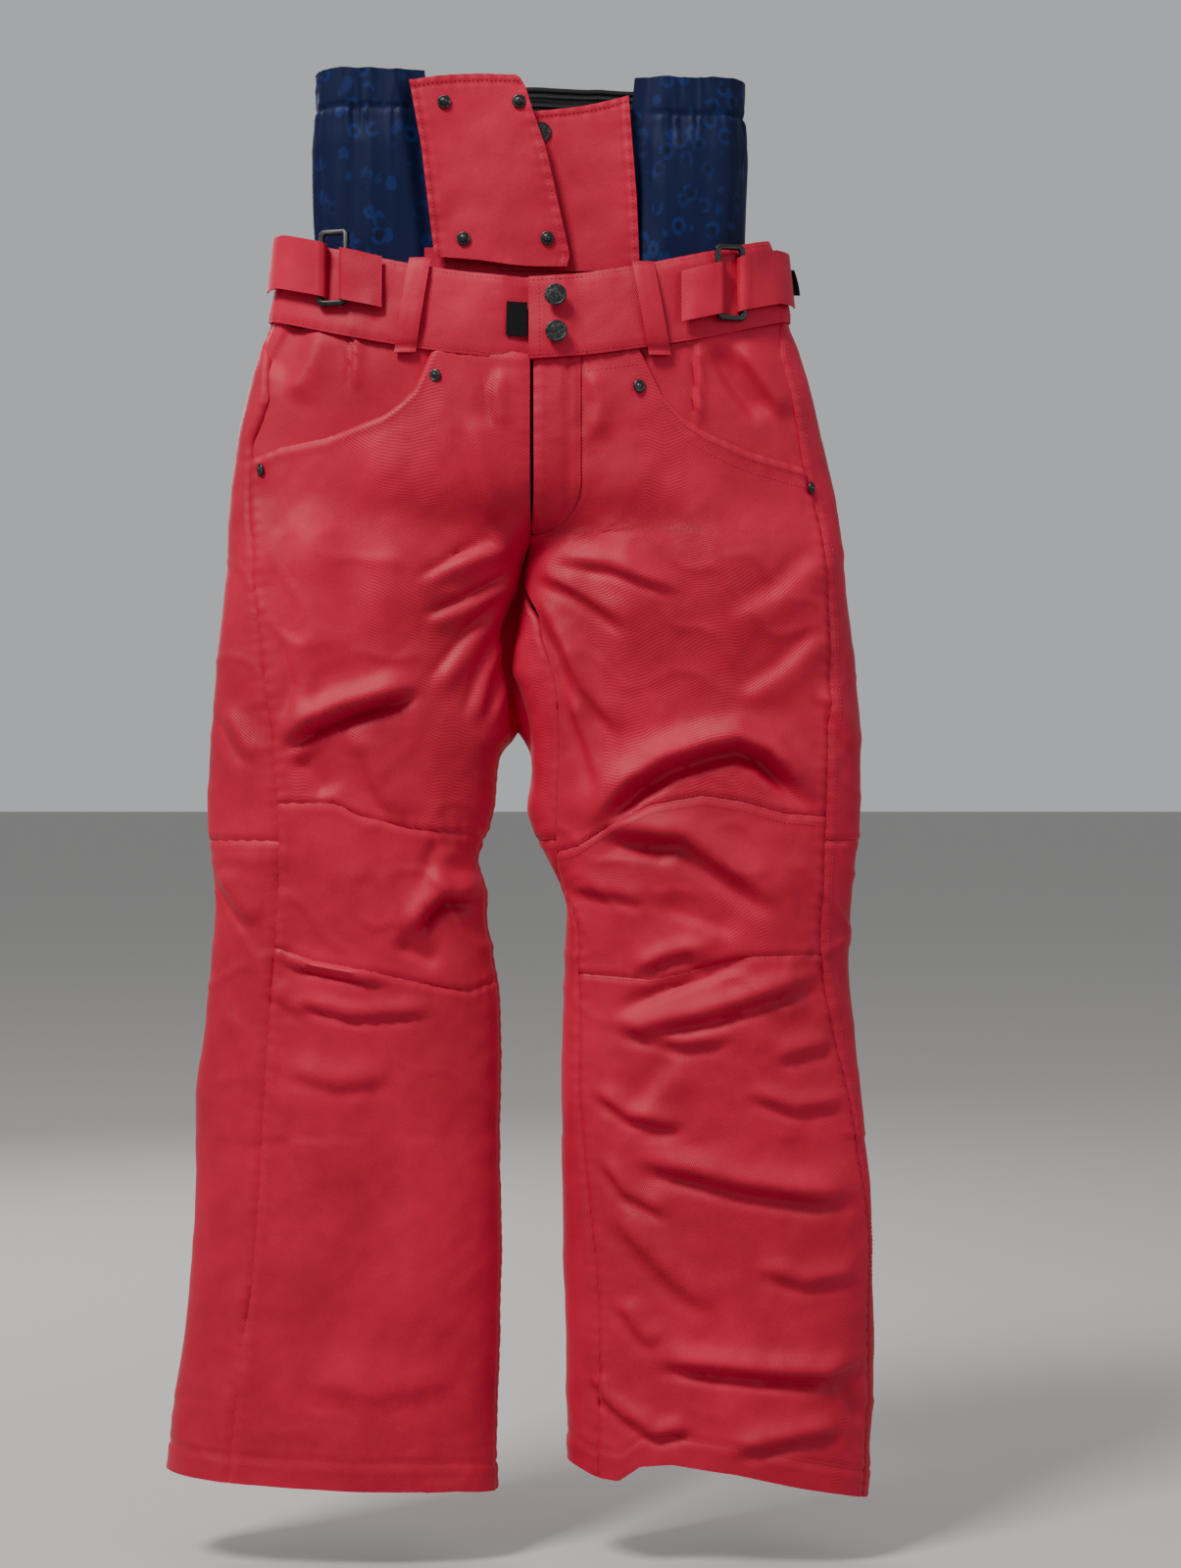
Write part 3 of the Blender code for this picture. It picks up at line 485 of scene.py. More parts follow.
def gridShell(name, outer, thick, finish, outward=None):
    # closed cloth: the outer grid, an inner one under it, and a rim
    normal = gridNormals(outer)
    if outward is not None and (normal * outward).sum() < 0:
        normal = -normal
    inner = outer - normal * thick
    rows, columns = outer.shape[:2]
    count = rows * columns
    index = np.arange(count).reshape(rows, columns)
    quads = np.stack([index[:-1, :-1], index[1:, :-1], index[1:, 1:], index[:-1, 1:]], axis=2).reshape(-1, 4)
    ring = np.concatenate([index[0, :-1], index[:-1, -1], index[-1, :0:-1], index[:0:-1, 0]])
    ahead = np.roll(ring, -1)
    rim = np.stack([ring, ahead, ahead + count, ring + count], axis=1)
    points = np.concatenate([outer.reshape(-1, 3), inner.reshape(-1, 3)])
    faces = np.concatenate([quads, quads[:, ::-1] + count, rim])
    if signedVolume(points, faces) < 0:
        faces = faces[:, ::-1]
    flat = clothMaps(outer).reshape(-1, 2)
    made = meshObject(name, points, faces, finish, np.concatenate([flat, flat]))
    made.data.set_sharp_from_angle(angle=math.radians(58))
    return made


def turned(name, centre, normal, profile, finish, steps=28):
    # a lathe-turned fitting: profile holds (radius, height) in millimetres
    normal = Vector(normal).normalized()
    sideways = normal.cross(Vector((0, 0, 1))).normalized()
    upward = sideways.cross(normal)
    points = []
    for radius, height in profile:
        for k in range(steps):
            a = 2 * math.pi * k / steps
            p = Vector(centre) + normal * (height / 1000)
            points.append(p + (sideways * math.cos(a) + upward * math.sin(a)) * (radius / 1000))
    faces = []
    for row in range(len(profile) - 1):
        for k in range(steps):
            n = (k + 1) % steps
            faces.append((row * steps + k, row * steps + n, (row + 1) * steps + n, (row + 1) * steps + k))
    for row, flip in ((0, True), (len(profile) - 1, False)):
        points.append(Vector(centre) + normal * (profile[row][1] / 1000))
        hub = len(points) - 1
        for k in range(steps):
            pair = (row * steps + k, row * steps + (k + 1) % steps)
            faces.append((hub, *(pair[::-1] if flip else pair)))
    bm = bmesh.new()
    corners = [bm.verts.new(p) for p in points]
    for face in faces:
        bm.faces.new([corners[k] for k in face])
    bmesh.ops.recalc_face_normals(bm, faces=bm.faces)
    mesh = bpy.data.meshes.new(name)
    bm.to_mesh(mesh)
    bm.free()
    mesh.shade_smooth()
    mesh.materials.append(finishes[finish])
    return addObject(name, mesh)


def refined(name, node, finish, bevel):
    # a finer copy of a fitting: merged, with rounded edges
    made = addObject(name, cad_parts[node].data.copy())
    bm = bmesh.new()
    bm.from_mesh(made.data)
    bmesh.ops.remove_doubles(bm, verts=bm.verts, dist=1e-6)
    bmesh.ops.dissolve_limit(bm, angle_limit=math.radians(2), verts=bm.verts, edges=bm.edges)
    bm.to_mesh(made.data)
    bm.free()
    made.data.materials.clear()
    made.data.materials.append(finishes[finish])
    edge = made.modifiers.new("edge", "BEVEL")
    edge.width = bevel
    edge.segments = 3
    edge.limit_method = "ANGLE"
    edge.angle_limit = math.radians(35)
    graph = bpy.context.evaluated_depsgraph_get()
    mesh = bpy.data.meshes.new_from_object(made.evaluated_get(graph))
    made.modifiers.clear()
    made.data = mesh
    mesh.shade_smooth()
    mesh.set_sharp_from_angle(angle=math.radians(50))
    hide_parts(node)
    return made


def settle(piece, body=None, blend=None):
    if blend:
        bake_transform(piece)
    else:
        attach(piece, body or "hips")
    return piece


# The pants' cloth. Distances are in millimetres, x to the wearer's left and z up from the
# rim, as they look straight on. seenAt goes from a real place to that flat drawing.


drawing = {"x": studio["eye"][0], "z": studio["eye"][2], "away": -studio["eye"][1], "plane": 2.2}


def spread(y):
    return drawing["plane"] / (drawing["away"] + y)


def seenAt(x, y, z):
    k = spread(y)
    return drawing["x"] + (x - drawing["x"]) * k, drawing["z"] + (z - drawing["z"]) * k


shape = {
    "drops": [
        127, 160, 192, 222, 252, 283, 344, 404, 465, 526, 587, 648, 700, 739, 800, 860, 921, 982,
        1043, 1100,
    ],
    "outer": {
        "right": [
            186, 191, 197, 208, 217, 224, 230, 232, 239, 245, 246, 243, 246, 249, 255, 257, 262,
            267, 274, 278,
        ],
        "left": [
            183, 190, 198, 209, 218, 225, 238, 245, 252, 255, 256, 252, 249, 252, 258, 264, 265,
            268, 265, 262,
        ],
    },
    "innerDrops": [370, 385, 406, 432, 454, 468, 487, 513, 541, 578, 596, 613, 640, 667, 710, 840, 1100],
    "inner": {
        "right": [0, 6, 11, 25, 25, 24, 22, 17, 27, 32, 37, 44, 38, 35, 27, 26, 26],
        "left": [0, -4, -6, -10, -13, -14, -7, 0, 1, -1, 6, 14, 27, 28, 27, 25, 29],
    },
    "depthDrops": [127, 191, 278, 385, 493, 655, 868, 1100],
    "depth": [44, 50, 56, 48, 45, 41, 41, 47],
    "power": 2 / 2.3,
    "crotch": -0.385,
    "crotchDepth": 0.085,
    "waistHalf": 0.1945,
    "share": 1.8,
    "tuck": {"right": 0.014, "left": 0.021},
    "tuckTop": -0.356,
    "tuckEnd": -0.545,
    "hemStart": -0.93,
    "hemFade": 0.17,
    "hem": -1.100,
    "hipFold": (-0.393, -0.493),
    "kneeFold": (-0.597, -0.713),
    "seamDepth": -0.03,
    "turnIn": 0.0030,
    "clothThick": 0.0015,
    "grid": 0.0034,
}
sign = {"right": -1.0, "left": 1.0}


def rounded(v):
    return np.sign(v) * np.abs(v) ** shape["power"]


def edgesAt(side, z):
    middleX, middleZ = drawing["x"], drawing["z"]
    drop = -1000 * (middleZ + (z - middleZ) * spread(0))
    outer = smoothAt(shape["drops"], shape["outer"][side], drop) / 1000
    inner = smoothAt(shape["innerDrops"], shape["inner"][side], drop) / 1000
    outer = sign[side] * (middleX + (sign[side] * outer - middleX) / spread(0))
    inner = sign[side] * (middleX + (sign[side] * inner - middleX) / spread(0))
    inner = inner - sign[side] * middleX * (1 - 1 / spread(0))
    depth = smoothAt(shape["depthDrops"], shape["depth"], -1000 * z) / 1000
    return outer, inner, depth


hemLine = {
    "right": ([0, 0.12, 0.5, 0.85, 1], [-10, -5, -1, 4, 7]),
    "left": ([0, 0.1, 0.17, 0.24, 0.34, 0.55, 0.75, 0.9, 1], [14, 5, 4, 16, 18, 11, 0, -8, -15]),
}


def sectionPoint(side, turn, z, inset=0.0):
    turn, z = np.broadcast_arrays(np.asarray(turn, float), np.asarray(z, float))
    outer, inner, depth = edgesAt(side, z)
    angle = np.radians(turn % 360)
    front = np.where(angle <= math.pi, 1.0, -1.0)
    split = shape["crotch"] + shape["crotchDepth"] - 0.004
    share = ease((split - z) / shape["crotchDepth"]) ** shape["share"]
    half = np.minimum(angle, 2 * math.pi - angle) / 2
    hipX = (outer - inset) * rounded(np.cos(half))
    hipY = -front * (depth - inset) * rounded(np.sin(half))
    middle, reach = (outer + inner) / 2, (outer - inner) / 2 - inset
    legX = middle + reach * rounded(np.cos(angle))
    legY = -(depth - inset) * rounded(np.sin(angle))
    # the seat's inner thigh reaches towards the centre behind the front
    past = turn % 360 - 180
    tuck = ease((shape["tuckTop"] - z) / 0.016) * ease((z - shape["tuckEnd"]) / 0.05)
    tuck = tuck * np.where(front < 0, 1, 0)
    tuck = tuck * ease(past / 14) * np.exp(-((np.maximum(past - 18, 0) / 26) ** 2))
    legX = legX - tuck * shape["tuck"][side]
    x = sign[side] * (hipX * (1 - share) + legX * share)
    y = hipY * (1 - share) + legY * share
    across = np.clip((np.abs(x) - inner) / (outer - inner), 0, 1)
    places, lifts = hemLine[side]
    lift = np.where(front > 0, np.interp(across, places, lifts), lifts[0] * (1 - across) + lifts[-1] * across)
    low = ease((shape["hemStart"] - z) / shape["hemFade"])
    return np.stack([x, y, z + lift / 1000 * low], axis=-1)


def sectionNormal(side, turn, z):
    # outward, and the same at a place whichever cut of cloth asks
    turn = np.where(turn < 180.0005, np.clip(turn, 0.6, 179.3), np.clip(turn, 180.7, 1000))
    across = sectionPoint(side, turn + 0.5, z) - sectionPoint(side, turn - 0.5, z)
    upward = sectionPoint(side, turn, z + 0.002) - sectionPoint(side, turn, z - 0.002)
    normal = np.cross(across, upward) * -sign[side]
    return normal / (np.linalg.norm(normal, axis=-1, keepdims=True) + 1e-12)


def turnForSeen(side, seenX, z):
    # where the front of the cloth passes under seenX, at each height
    z = np.atleast_1d(z)
    turns = np.linspace(2, 179, 60)
    found = []
    for height, target in zip(z, np.broadcast_to(seenX, z.shape)):
        p = sectionPoint(side, turns, height)
        x = seenAt(p[:, 0], p[:, 1], p[:, 2])[0] * sign[side]
        found.append(np.interp(-target * sign[side], -x, turns))
    return np.array(found)


# Seam lines, as (x, z) in millimetres on the flat drawing.
seams = {
    "side": {
        "right": [
            (-204, -230), (-207, -268), (-214, -280), (-216, -317), (-214, -372), (-204, -480),
            (-199, -521), (-195, -564), (-196, -655), (-198, -683), (-203, -754), (-206, -799),
            (-215, -935), (-226, -1027), (-233, -1097),
        ],
        "left": [
            (195, -222), (201, -245), (209, -280), (214, -312), (226, -353), (230, -388),
            (233, -480), (231, -539), (229, -628), (227, -688), (238, -754), (249, -802),
            (258, -860), (262, -900), (263, -965), (263, -1016), (258, -1097),
        ],
    },
    "inseam": {
        "left": [
            (7, -437), (15, -458), (21, -485), (23, -520), (22, -561), (24, -628), (36, -663),
            (38, -703), (40, -815), (53, -953), (53, -1097),
        ],
    },
    "kneeTop": {
        "right": [
            (-205, -573), (-195, -571), (-151, -571), (-131, -581), (-91, -591), (-59, -594),
            (-30, -596),
        ],
        "left": [
            (15, -611), (38, -604), (67, -585), (95, -572), (135, -565), (167, -570), (198, -579),
            (230, -581),
        ],
    },
    "kneeLow": {
        "right": [
            (-205, -682), (-197, -683), (-169, -693), (-125, -701), (-99, -707), (-68, -714),
            (-47, -717), (-26, -708),
        ],
        "left": [(23, -701), (38, -703), (93, -708), (122, -702), (152, -695), (173, -690), (236, -688)],
    },
    "mouth": {
        "right": [
            (-71, -213), (-79, -230), (-87, -249), (-99, -261), (-112, -271), (-135, -280),
            (-158, -289), (-193, -296), (-220, -306),
        ],
        "left": [(85, -216), (93, -233), (102, -252), (119, -271), (137, -283), (170, -298), (220, -313)],
    },
}
crossSeam = -0.600
flyEnd = -0.362
flyWidth = 0.040


def sideTurn(side):
    line = np.array(seams["side"][side], float)[::-1] / 1000
    heights = np.linspace(-1.12, -0.12, 60)
    seenZ = seenAt(0, shape["seamDepth"], heights)[1]
    seenX = smoothAt(line[:, 1], line[:, 0], seenZ)
    turns = turnForSeen(side, seenX, heights)
    return lambda z: np.interp(z, heights, turns)


def inTurn(side):
    if side == "right":
        return lambda z: 180.0 - 6 * ease((shape["crotch"] - z) / 0.1)
    line = np.array(seams["inseam"][side], float)[::-1] / 1000
    heights = np.linspace(-1.12, -0.43, 50)
    seenZ = seenAt(0, shape["seamDepth"], heights)[1]
    seenX = smoothAt(line[:, 1], line[:, 0], seenZ)
    turns = turnForSeen(side, seenX, heights)

    def turn(z):
        above = 180 + (turns[-1] - 180) * ease((shape["crotch"] - z) / 0.045)
        return np.where(z > heights[-1], above, np.interp(z, heights, turns))

    return turn


sideTurns = {side: sideTurn(side) for side in sign}
inTurns = {side: inTurn(side) for side in sign}

band = {"top": -0.129, "frontDip": -0.036, "backRise": 0.012, "height": 0.064, "out": 0.0032}


def bandTop(turn):
    angle = np.radians(np.asarray(turn, float) % 360)
    half = np.minimum(angle, 2 * math.pi - angle) / 2
    rise = np.where(angle <= math.pi, band["frontDip"], band["backRise"])
    return band["top"] + rise * (1 - np.maximum(np.cos(half), 0) ** 1.3)


def seamHeight(side, line, share, start, end, guess):
    line = np.array(sorted(line), float) / 1000
    z = np.full(np.shape(share), float(guess))
    for _ in range(8):
        turn = start(z) + (end(z) - start(z)) * share
        p = sectionPoint(side, turn, z)
        x = seenAt(p[..., 0], p[..., 1], p[..., 2])[0]
        z = drawing["z"] + (np.interp(x, line[:, 0], line[:, 1]) - drawing["z"]) / spread(p[..., 1])
    return z


# Folds: a line in millimetres, how tall and wide the crest is, and how deep its crease.
folds = {
    "right": [
        ([(-198, -523), (-188, -518), (-169, -505), (-141, -494), (-108, -484), (-84, -476)], 6.5, 9, 1.1),
        ([(-144, -514), (-125, -531), (-116, -556), (-103, -576), (-97, -588)], 3, 10, 0.5),
        ([(-182, -532), (-169, -549), (-155, -568)], -4, 13, 0.0),
        ([(-65, -600), (-70, -621), (-78, -640)], 2.4, 8, 0.6),
        ([(-94, -675), (-92, -667), (-82, -651), (-68, -640), (-38, -641)], 5, 8, 1.2),
        ([(-106, -679), (-85, -689), (-68, -696)], -3, 9, 0.0),
        ([(-199, -690), (-175, -696), (-144, -702), (-106, -710)], 2.4, 5, 0.8),
        ([(-240, -620), (-224, -648), (-210, -667)], 3, 9, 0.5),
        ([(-198, -711), (-185, -725), (-173, -736)], 2, 8, 0.4),
        ([(-9, -397), (-36, -413), (-84, -435)], 3, 7, 0.9),
        ([(-12, -409), (-43, -442), (-76, -489)], 2.6, 8, 0.7),
        ([(-18, -435), (-35, -473), (-46, -512)], 2.2, 7, 0.7),
        ([(-3, -344), (-30, -374), (-68, -395)], 2.2, 9, 0.5),
        ([(-123, -275), (-105, -359), (-112, -450)], 3, 26, 0.5),
        ([(-167, -328), (-173, -404), (-160, -473)], 2.4, 20, 0.4),
        ([(-47, -268), (-36, -313), (-23, -359)], 2.2, 9, 0.6),
        ([(-19, -231), (-26, -252), (-21, -283)], 2.4, 7, 0.7),
        ([(-182, -754), (-160, -860), (-169, -982)], 2.0, 30, 0.3),
        ([(-91, -739), (-82, -860), (-91, -1012)], 2.2, 34, 0.3),
        ([(-182, -1012), (-122, -1028), (-53, -1015)], 1.6, 16, 0.5),
        ([(-236, -496), (-223, -520), (-211, -540)], 2.2, 7, 0.6),
        ([(-14, -371), (-50, -383), (-88, -404)], 2.2, 6, 0.8),
        ([(-11, -435), (-21, -476), (-30, -514)], 2.4, 6, 0.8),
        ([(-182, -722), (-137, -734), (-71, -730)], 2.4, 6, 0.8),
        ([(-190, -774), (-149, -787), (-103, -781)], 1.8, 9, 0.6),
        ([(-231, -929), (-220, -990), (-225, -1043)], 1.8, 9, 0.6),
        ([(-185, -435), (-175, -480), (-182, -512)], 2.0, 8, 0.6),
    ],
    "left": [
        ([
            (33, -591), (51, -578), (76, -552), (106, -534), (138, -524), (163, -519), (187, -529),
            (211, -552), (233, -576),
        ], 7, 11, 1.2),
        ([(46, -585), (84, -591), (121, -594), (144, -612), (163, -624), (201, -654)], 5, 11, 1.0),
        ([(30, -632), (61, -638), (97, -646)], 2.4, 8, 0.6),
        ([(55, -610), (84, -606), (114, -617)], -2.5, 9, 0.0),
        ([(96, -649), (131, -660), (166, -674)], -2.5, 10, 0.0),
        ([(76, -701), (106, -688), (125, -684), (140, -697)], 3, 7, 0.9),
        ([(62, -736), (100, -719), (135, -707), (179, -690)], -3.4, 6, 0.0),
        ([(68, -745), (135, -733), (183, -717), (230, -701)], 4.4, 9, 0.9),
        ([(61, -739), (121, -756), (161, -749)], 2.6, 8, 0.8),
        ([(187, -768), (213, -760), (236, -755)], 2.4, 8, 0.7),
        ([(126, -769), (103, -798), (78, -825)], 2.2, 13, 0.5),
        ([(76, -844), (128, -855), (166, -865), (217, -872), (261, -871)], 4.6, 10, 1.0),
        ([(61, -883), (91, -915), (116, -940), (150, -968)], 2.8, 11, 0.7),
        ([(70, -955), (85, -976), (100, -994)], 2.4, 8, 0.6),
        ([(91, -1000), (141, -1006), (192, -1011), (230, -1012), (266, -997)], 4.6, 9, 1.0),
        ([(74, -1041), (98, -1059), (128, -1053)], 3, 7, 0.8),
        ([(152, -1073), (192, -1064), (246, -1053)], 3.2, 8, 0.9),
        ([(240, -1018), (249, -1035), (258, -1054)], -2.5, 6, 0.0),
        ([(5, -389), (38, -404), (84, -435)], 2.4, 8, 0.7),
        ([(6, -404), (30, -450), (40, -511)], 2.2, 9, 0.6),
        ([(114, -306), (144, -374), (167, -473)], 2.8, 28, 0.5),
        ([(46, -290), (76, -374), (84, -480)], 2.6, 26, 0.5),
        ([(46, -231), (55, -260), (49, -290)], 2.4, 9, 0.6),
        ([(236, -374), (198, -412), (152, -435)], 2.4, 12, 0.6),
        ([(237, -435), (198, -473), (160, -496)], 2.2, 10, 0.6),
        ([(225, -480), (242, -509), (252, -534)], 2.2, 8, 0.6),
        ([(15, -378), (64, -385), (122, -407)], 2.2, 7, 0.8),
        ([(12, -420), (44, -480), (76, -520)], 2.6, 8, 0.8),
        ([(30, -483), (47, -527), (58, -565)], 2.2, 7, 0.8),
        ([(49, -789), (79, -812), (125, -821)], 2.6, 7, 0.9),
        ([(55, -842), (76, -871), (114, -891)], 2.4, 7, 0.8),
        ([(167, -792), (205, -806), (248, -800)], 2.4, 7, 0.8),
        ([(175, -929), (213, -941), (258, -933)], 2.4, 8, 0.7),
        ([(49, -1012), (62, -1034), (84, -1052)], 2.2, 6, 0.8),
    ],
    "mouth": [
        ([(138, -213), (158, -245), (182, -277)], -3.6, 8, 0.0),
        ([(158, -211), (179, -237), (202, -274)], 3, 8, 0.4),
        ([(131, -210), (132, -245), (131, -280)], 1.8, 3, 0.9),
        ([(-176, -188), (-188, -211), (-204, -239)], -3.4, 8, 0.0),
        ([(-136, -193), (-135, -222), (-136, -254)], 1.6, 3, 0.9),
        ([(-160, -199), (-170, -230), (-188, -260)], 2.4, 9, 0.4),
    ],
    # seen from behind, on the wearer's right; the left is mirrored and shifted
    "back": [
        ([(-40, -350), (-110, -378), (-190, -372)], 4, 12, 0.8),
        ([(-30, -372), (-100, -410), (-170, -425)], 3.4, 10, 0.8),
        ([(-60, -470), (-140, -505), (-220, -500)], 3, 12, 0.7),
        ([(-50, -590), (-130, -612), (-230, -600)], 5, 11, 1.1),
        ([(-60, -640), (-140, -650), (-220, -672)], 4.6, 11, 1.0),
        ([(-70, -690), (-150, -706), (-240, -694)], 3.6, 11, 0.9),
        ([(-60, -760), (-130, -775), (-200, -762)], 2, 14, 0.5),
        ([(-90, -250), (-84, -300), (-96, -340)], 2, 16, 0.4),
        ([(-120, -800), (-132, -900), (-124, -1010)], 2.4, 30, 0.3),
        ([(-80, -1050), (-150, -1064), (-230, -1052)], 2.4, 10, 0.6),
    ],
}


# how strongly the folds and the cloth's slackness stand out
relief = {
    "front": 1.6,
    "back": 1.4,
    "narrow": 0.85,
    "slack": 0.0024,
    "ripple": 0.0011,
    "crinkle": 0.00040,
    "crease": 0.0016,
    "seed": 11,
}


def clothRelief(side, points, seed):
    # how far the cloth stands out of its plain section, from its folds and its slackness
    x, y, z = points[..., 0], points[..., 1], points[..., 2]
    u, v = seenAt(x, y, z)
    facing = ease((0.012 - y) / 0.02)
    rise = np.zeros(x.shape)
    for line, tall, wide, steep in folds[side]:
        rise += foldHeight(u, v, line, tall * relief["front"], wide * relief["narrow"], steep) * facing
    flip = 1 if side == "right" else -1
    for line, tall, wide, steep in folds["back"]:
        shift = 0 if side == "right" else 0.018
        height = foldHeight(x * flip, z + shift, line, tall * relief["back"], wide * relief["narrow"], steep)
        rise += height * ease((y - 0.004) / 0.02)
    calm = 0.35 + 0.65 * ease((-z - 0.24) / 0.08)
    rise += wobble(x, z, 0.060, seed, 2.2) * relief["slack"] * calm
    rise += wobble(x + z * 0.4, z, 0.026, seed + 1, 1.6) * relief["ripple"] * calm
    rise += wobble(x - z * 0.3, z, 0.011, seed + 2, 1.3) * relief["crinkle"]
    # short crisp creases, most of them near the knees and under the crotch
    crisp = 1 - np.abs(wobble(x + 0.6 * z, z - 0.3 * x, 0.034, seed + 5, 1.2)) * 3.2
    where = np.exp(-(((z + 0.66) / 0.11) ** 2)) + 0.8 * np.exp(-(((z + 0.42) / 0.07) ** 2))
    where = where + 0.5 * ease((-z - 0.99) / 0.06)
    rise += relief["crease"] * np.clip(crisp, 0, 1) ** 1.5 * where
    return rise


def edgeRoll(away, strength=1.0):
    # a seam's groove, and the felled ridge beside it
    groove = -0.0011 * np.exp(-((away / 0.0019) ** 2))
    return strength * (groove + 0.00045 * np.exp(-(((away - 0.0048) / 0.0026) ** 2)))


def pucker(away, along, seed):
    wave = np.sin(along / 0.0105 * 2 * math.pi + 2.5 * wobble(along, along * 0, 0.05, seed))
    return 0.00034 * wave * np.exp(-(away / 0.008) ** 2)


panels = {}


def clothPanel(name, side, start, end, top, bottom, seed, edges="lrtb", extra=None):
    # one cut of cloth between two turns and two heights; l and r are its start and end
    middle = np.linspace(0, 1, 41)
    mz = (top(middle) + bottom(middle)) / 2
    line = sectionPoint(side, start(mz) + (end(mz) - start(mz)) * middle, mz)
    width = np.linalg.norm(np.diff(line, axis=0), axis=1).sum()
    drop = float(np.abs(top(middle) - bottom(middle)).max())
    columns = max(8, int(width / shape["grid"]))
    rows = max(6, int(drop / shape["grid"]))
    s = np.linspace(0, 1, columns + 1)[None, :]
    t = np.linspace(0, 1, rows + 1)[:, None]
    z = top(s) + (bottom(s) - top(s)) * t
    turn = start(z) + (end(z) - start(z)) * s
    base = sectionPoint(side, turn, z)
    normal = sectionNormal(side, turn, z)
    acrossStep = np.linalg.norm(np.diff(base, axis=1), axis=2)
    downStep = np.linalg.norm(np.diff(base, axis=0), axis=2)
    across = np.concatenate([np.zeros((rows + 1, 1)), np.cumsum(acrossStep, axis=1)], axis=1)
    down = np.concatenate([np.zeros((1, columns + 1)), np.cumsum(downStep, axis=0)])
    distance = {"l": across, "r": across[:, -1:] - across, "t": down, "b": down[-1:] - down}
    rise = clothRelief(side, base, relief["seed"])
    for edge in edges:
        away = distance[edge]
        along = down if edge in "lr" else across
        rise = rise + edgeRoll(away) + pucker(away, along, seed)
    if extra is not None:
        rise = rise + extra(base, distance)
    outer = base + normal * rise[..., None]
    # a seam allowance turned in along each edge
    turnIn = shape["turnIn"]
    padded, tipNormal = outer, normal
    if "l" in edges:
        padded = np.concatenate([outer[:, :1] - normal[:, :1] * turnIn, padded], axis=1)
        tipNormal = np.concatenate([normal[:, :1], tipNormal], axis=1)
    if "r" in edges:
        padded = np.concatenate([padded, outer[:, -1:] - normal[:, -1:] * turnIn], axis=1)
        tipNormal = np.concatenate([tipNormal, normal[:, -1:]], axis=1)
    if "t" in edges:
        padded = np.concatenate([padded[:1] - tipNormal[:1] * turnIn, padded])
        tipNormal = np.concatenate([tipNormal[:1], tipNormal])
    if "b" in edges:
        padded = np.concatenate([padded, padded[-1:] - tipNormal[-1:] * turnIn])
    made = gridShell(name, padded, shape["clothThick"], "coralShell")
    panels[name] = {"outer": outer, "normal": normal, "distance": distance}
    return made


def flat(value):
    return lambda s: np.full(np.shape(s), float(value))


def frontTurn(x):
    # turn of the front at a distance from the centre, at the band's height
    return math.degrees(2 * math.acos(min(abs(x) / shape["waistHalf"], 1.0) ** (1 / shape["power"])))


def bandBottom(turn):
    return bandTop(turn) - band["height"]


def hemStitchGroove(base, distance):
    return edgeRoll(np.abs(distance["b"] - 0.021), 0.8) + 0.0006 * (distance["b"] < 0.020)


def frontTop(side, end=None):
    # the pocket mouth near the side, and the waistband's lower edge near the centre
    def top(s):
        s = np.asarray(s, float)
        start, last = sideTurns[side], end or inTurns[side]
        mouth = seamHeight(side, seams["mouth"][side], s, start, last, -0.26)
        z = np.full(s.shape, -0.21)
        for _ in range(4):
            z = bandBottom(start(z) + (last(z) - start(z)) * s) + 0.004
        line = np.array(sorted(seams["mouth"][side]), float) / 1000
        p = sectionPoint(side, start(mouth) + (last(mouth) - start(mouth)) * s, mouth)
        x = seenAt(p[..., 0], p[..., 1], p[..., 2])[0]
        inner = line[-1, 0] if side == "right" else line[0, 0]
        past = x > inner if side == "right" else x < inner
        return np.where(past, z, np.minimum(mouth, z - 0.001))
    return top


# the bodies and heights of the stretches of cloth at the hip and the knee
hipFold, kneeFold = ([(0, 0, z) for z in shape[fold]] for fold in ("hipFold", "kneeFold"))
hipBlend = {s: ("hips", f"thigh_{s}", *hipFold) for s in sign}
kneeBlend = {s: (f"thigh_{s}", f"shin_{s}", *kneeFold) for s in sign}


def jStitch(base, distance):
    # the curved row of stitches that holds the fly's facing
    x, z = base[..., 0], base[..., 2]
    away = np.where(z > -0.335, np.abs(x - 0.030), np.abs(np.hypot(x - 0.004, z + 0.335) - 0.026))
    away = np.where(x < 0.002, 1, away)
    inside = ease((0.0300 - x) / 0.002) * ease((z + 0.366) / 0.012)
    return -0.0012 * np.exp(-((away / 0.0016) ** 2)) + 0.0008 * inside


def flyReach(z):
    # the facing's outer edge curves in to the centre at its end
    return flyWidth * np.sqrt(np.clip(1 - (np.clip(-0.322 - z, 0, 0.040) / 0.040) ** 2, 0, 1))


def underFacing(base, distance):
    # the front's edge lies under the facing, as far as the facing reaches
    x = seenAt(base[..., 0], base[..., 1], base[..., 2])[0]
    past = np.where(base[..., 2] > flyEnd, flyReach(base[..., 2]) - x, -1)
    return -0.0019 * ease((past + 0.0006) / 0.0012)


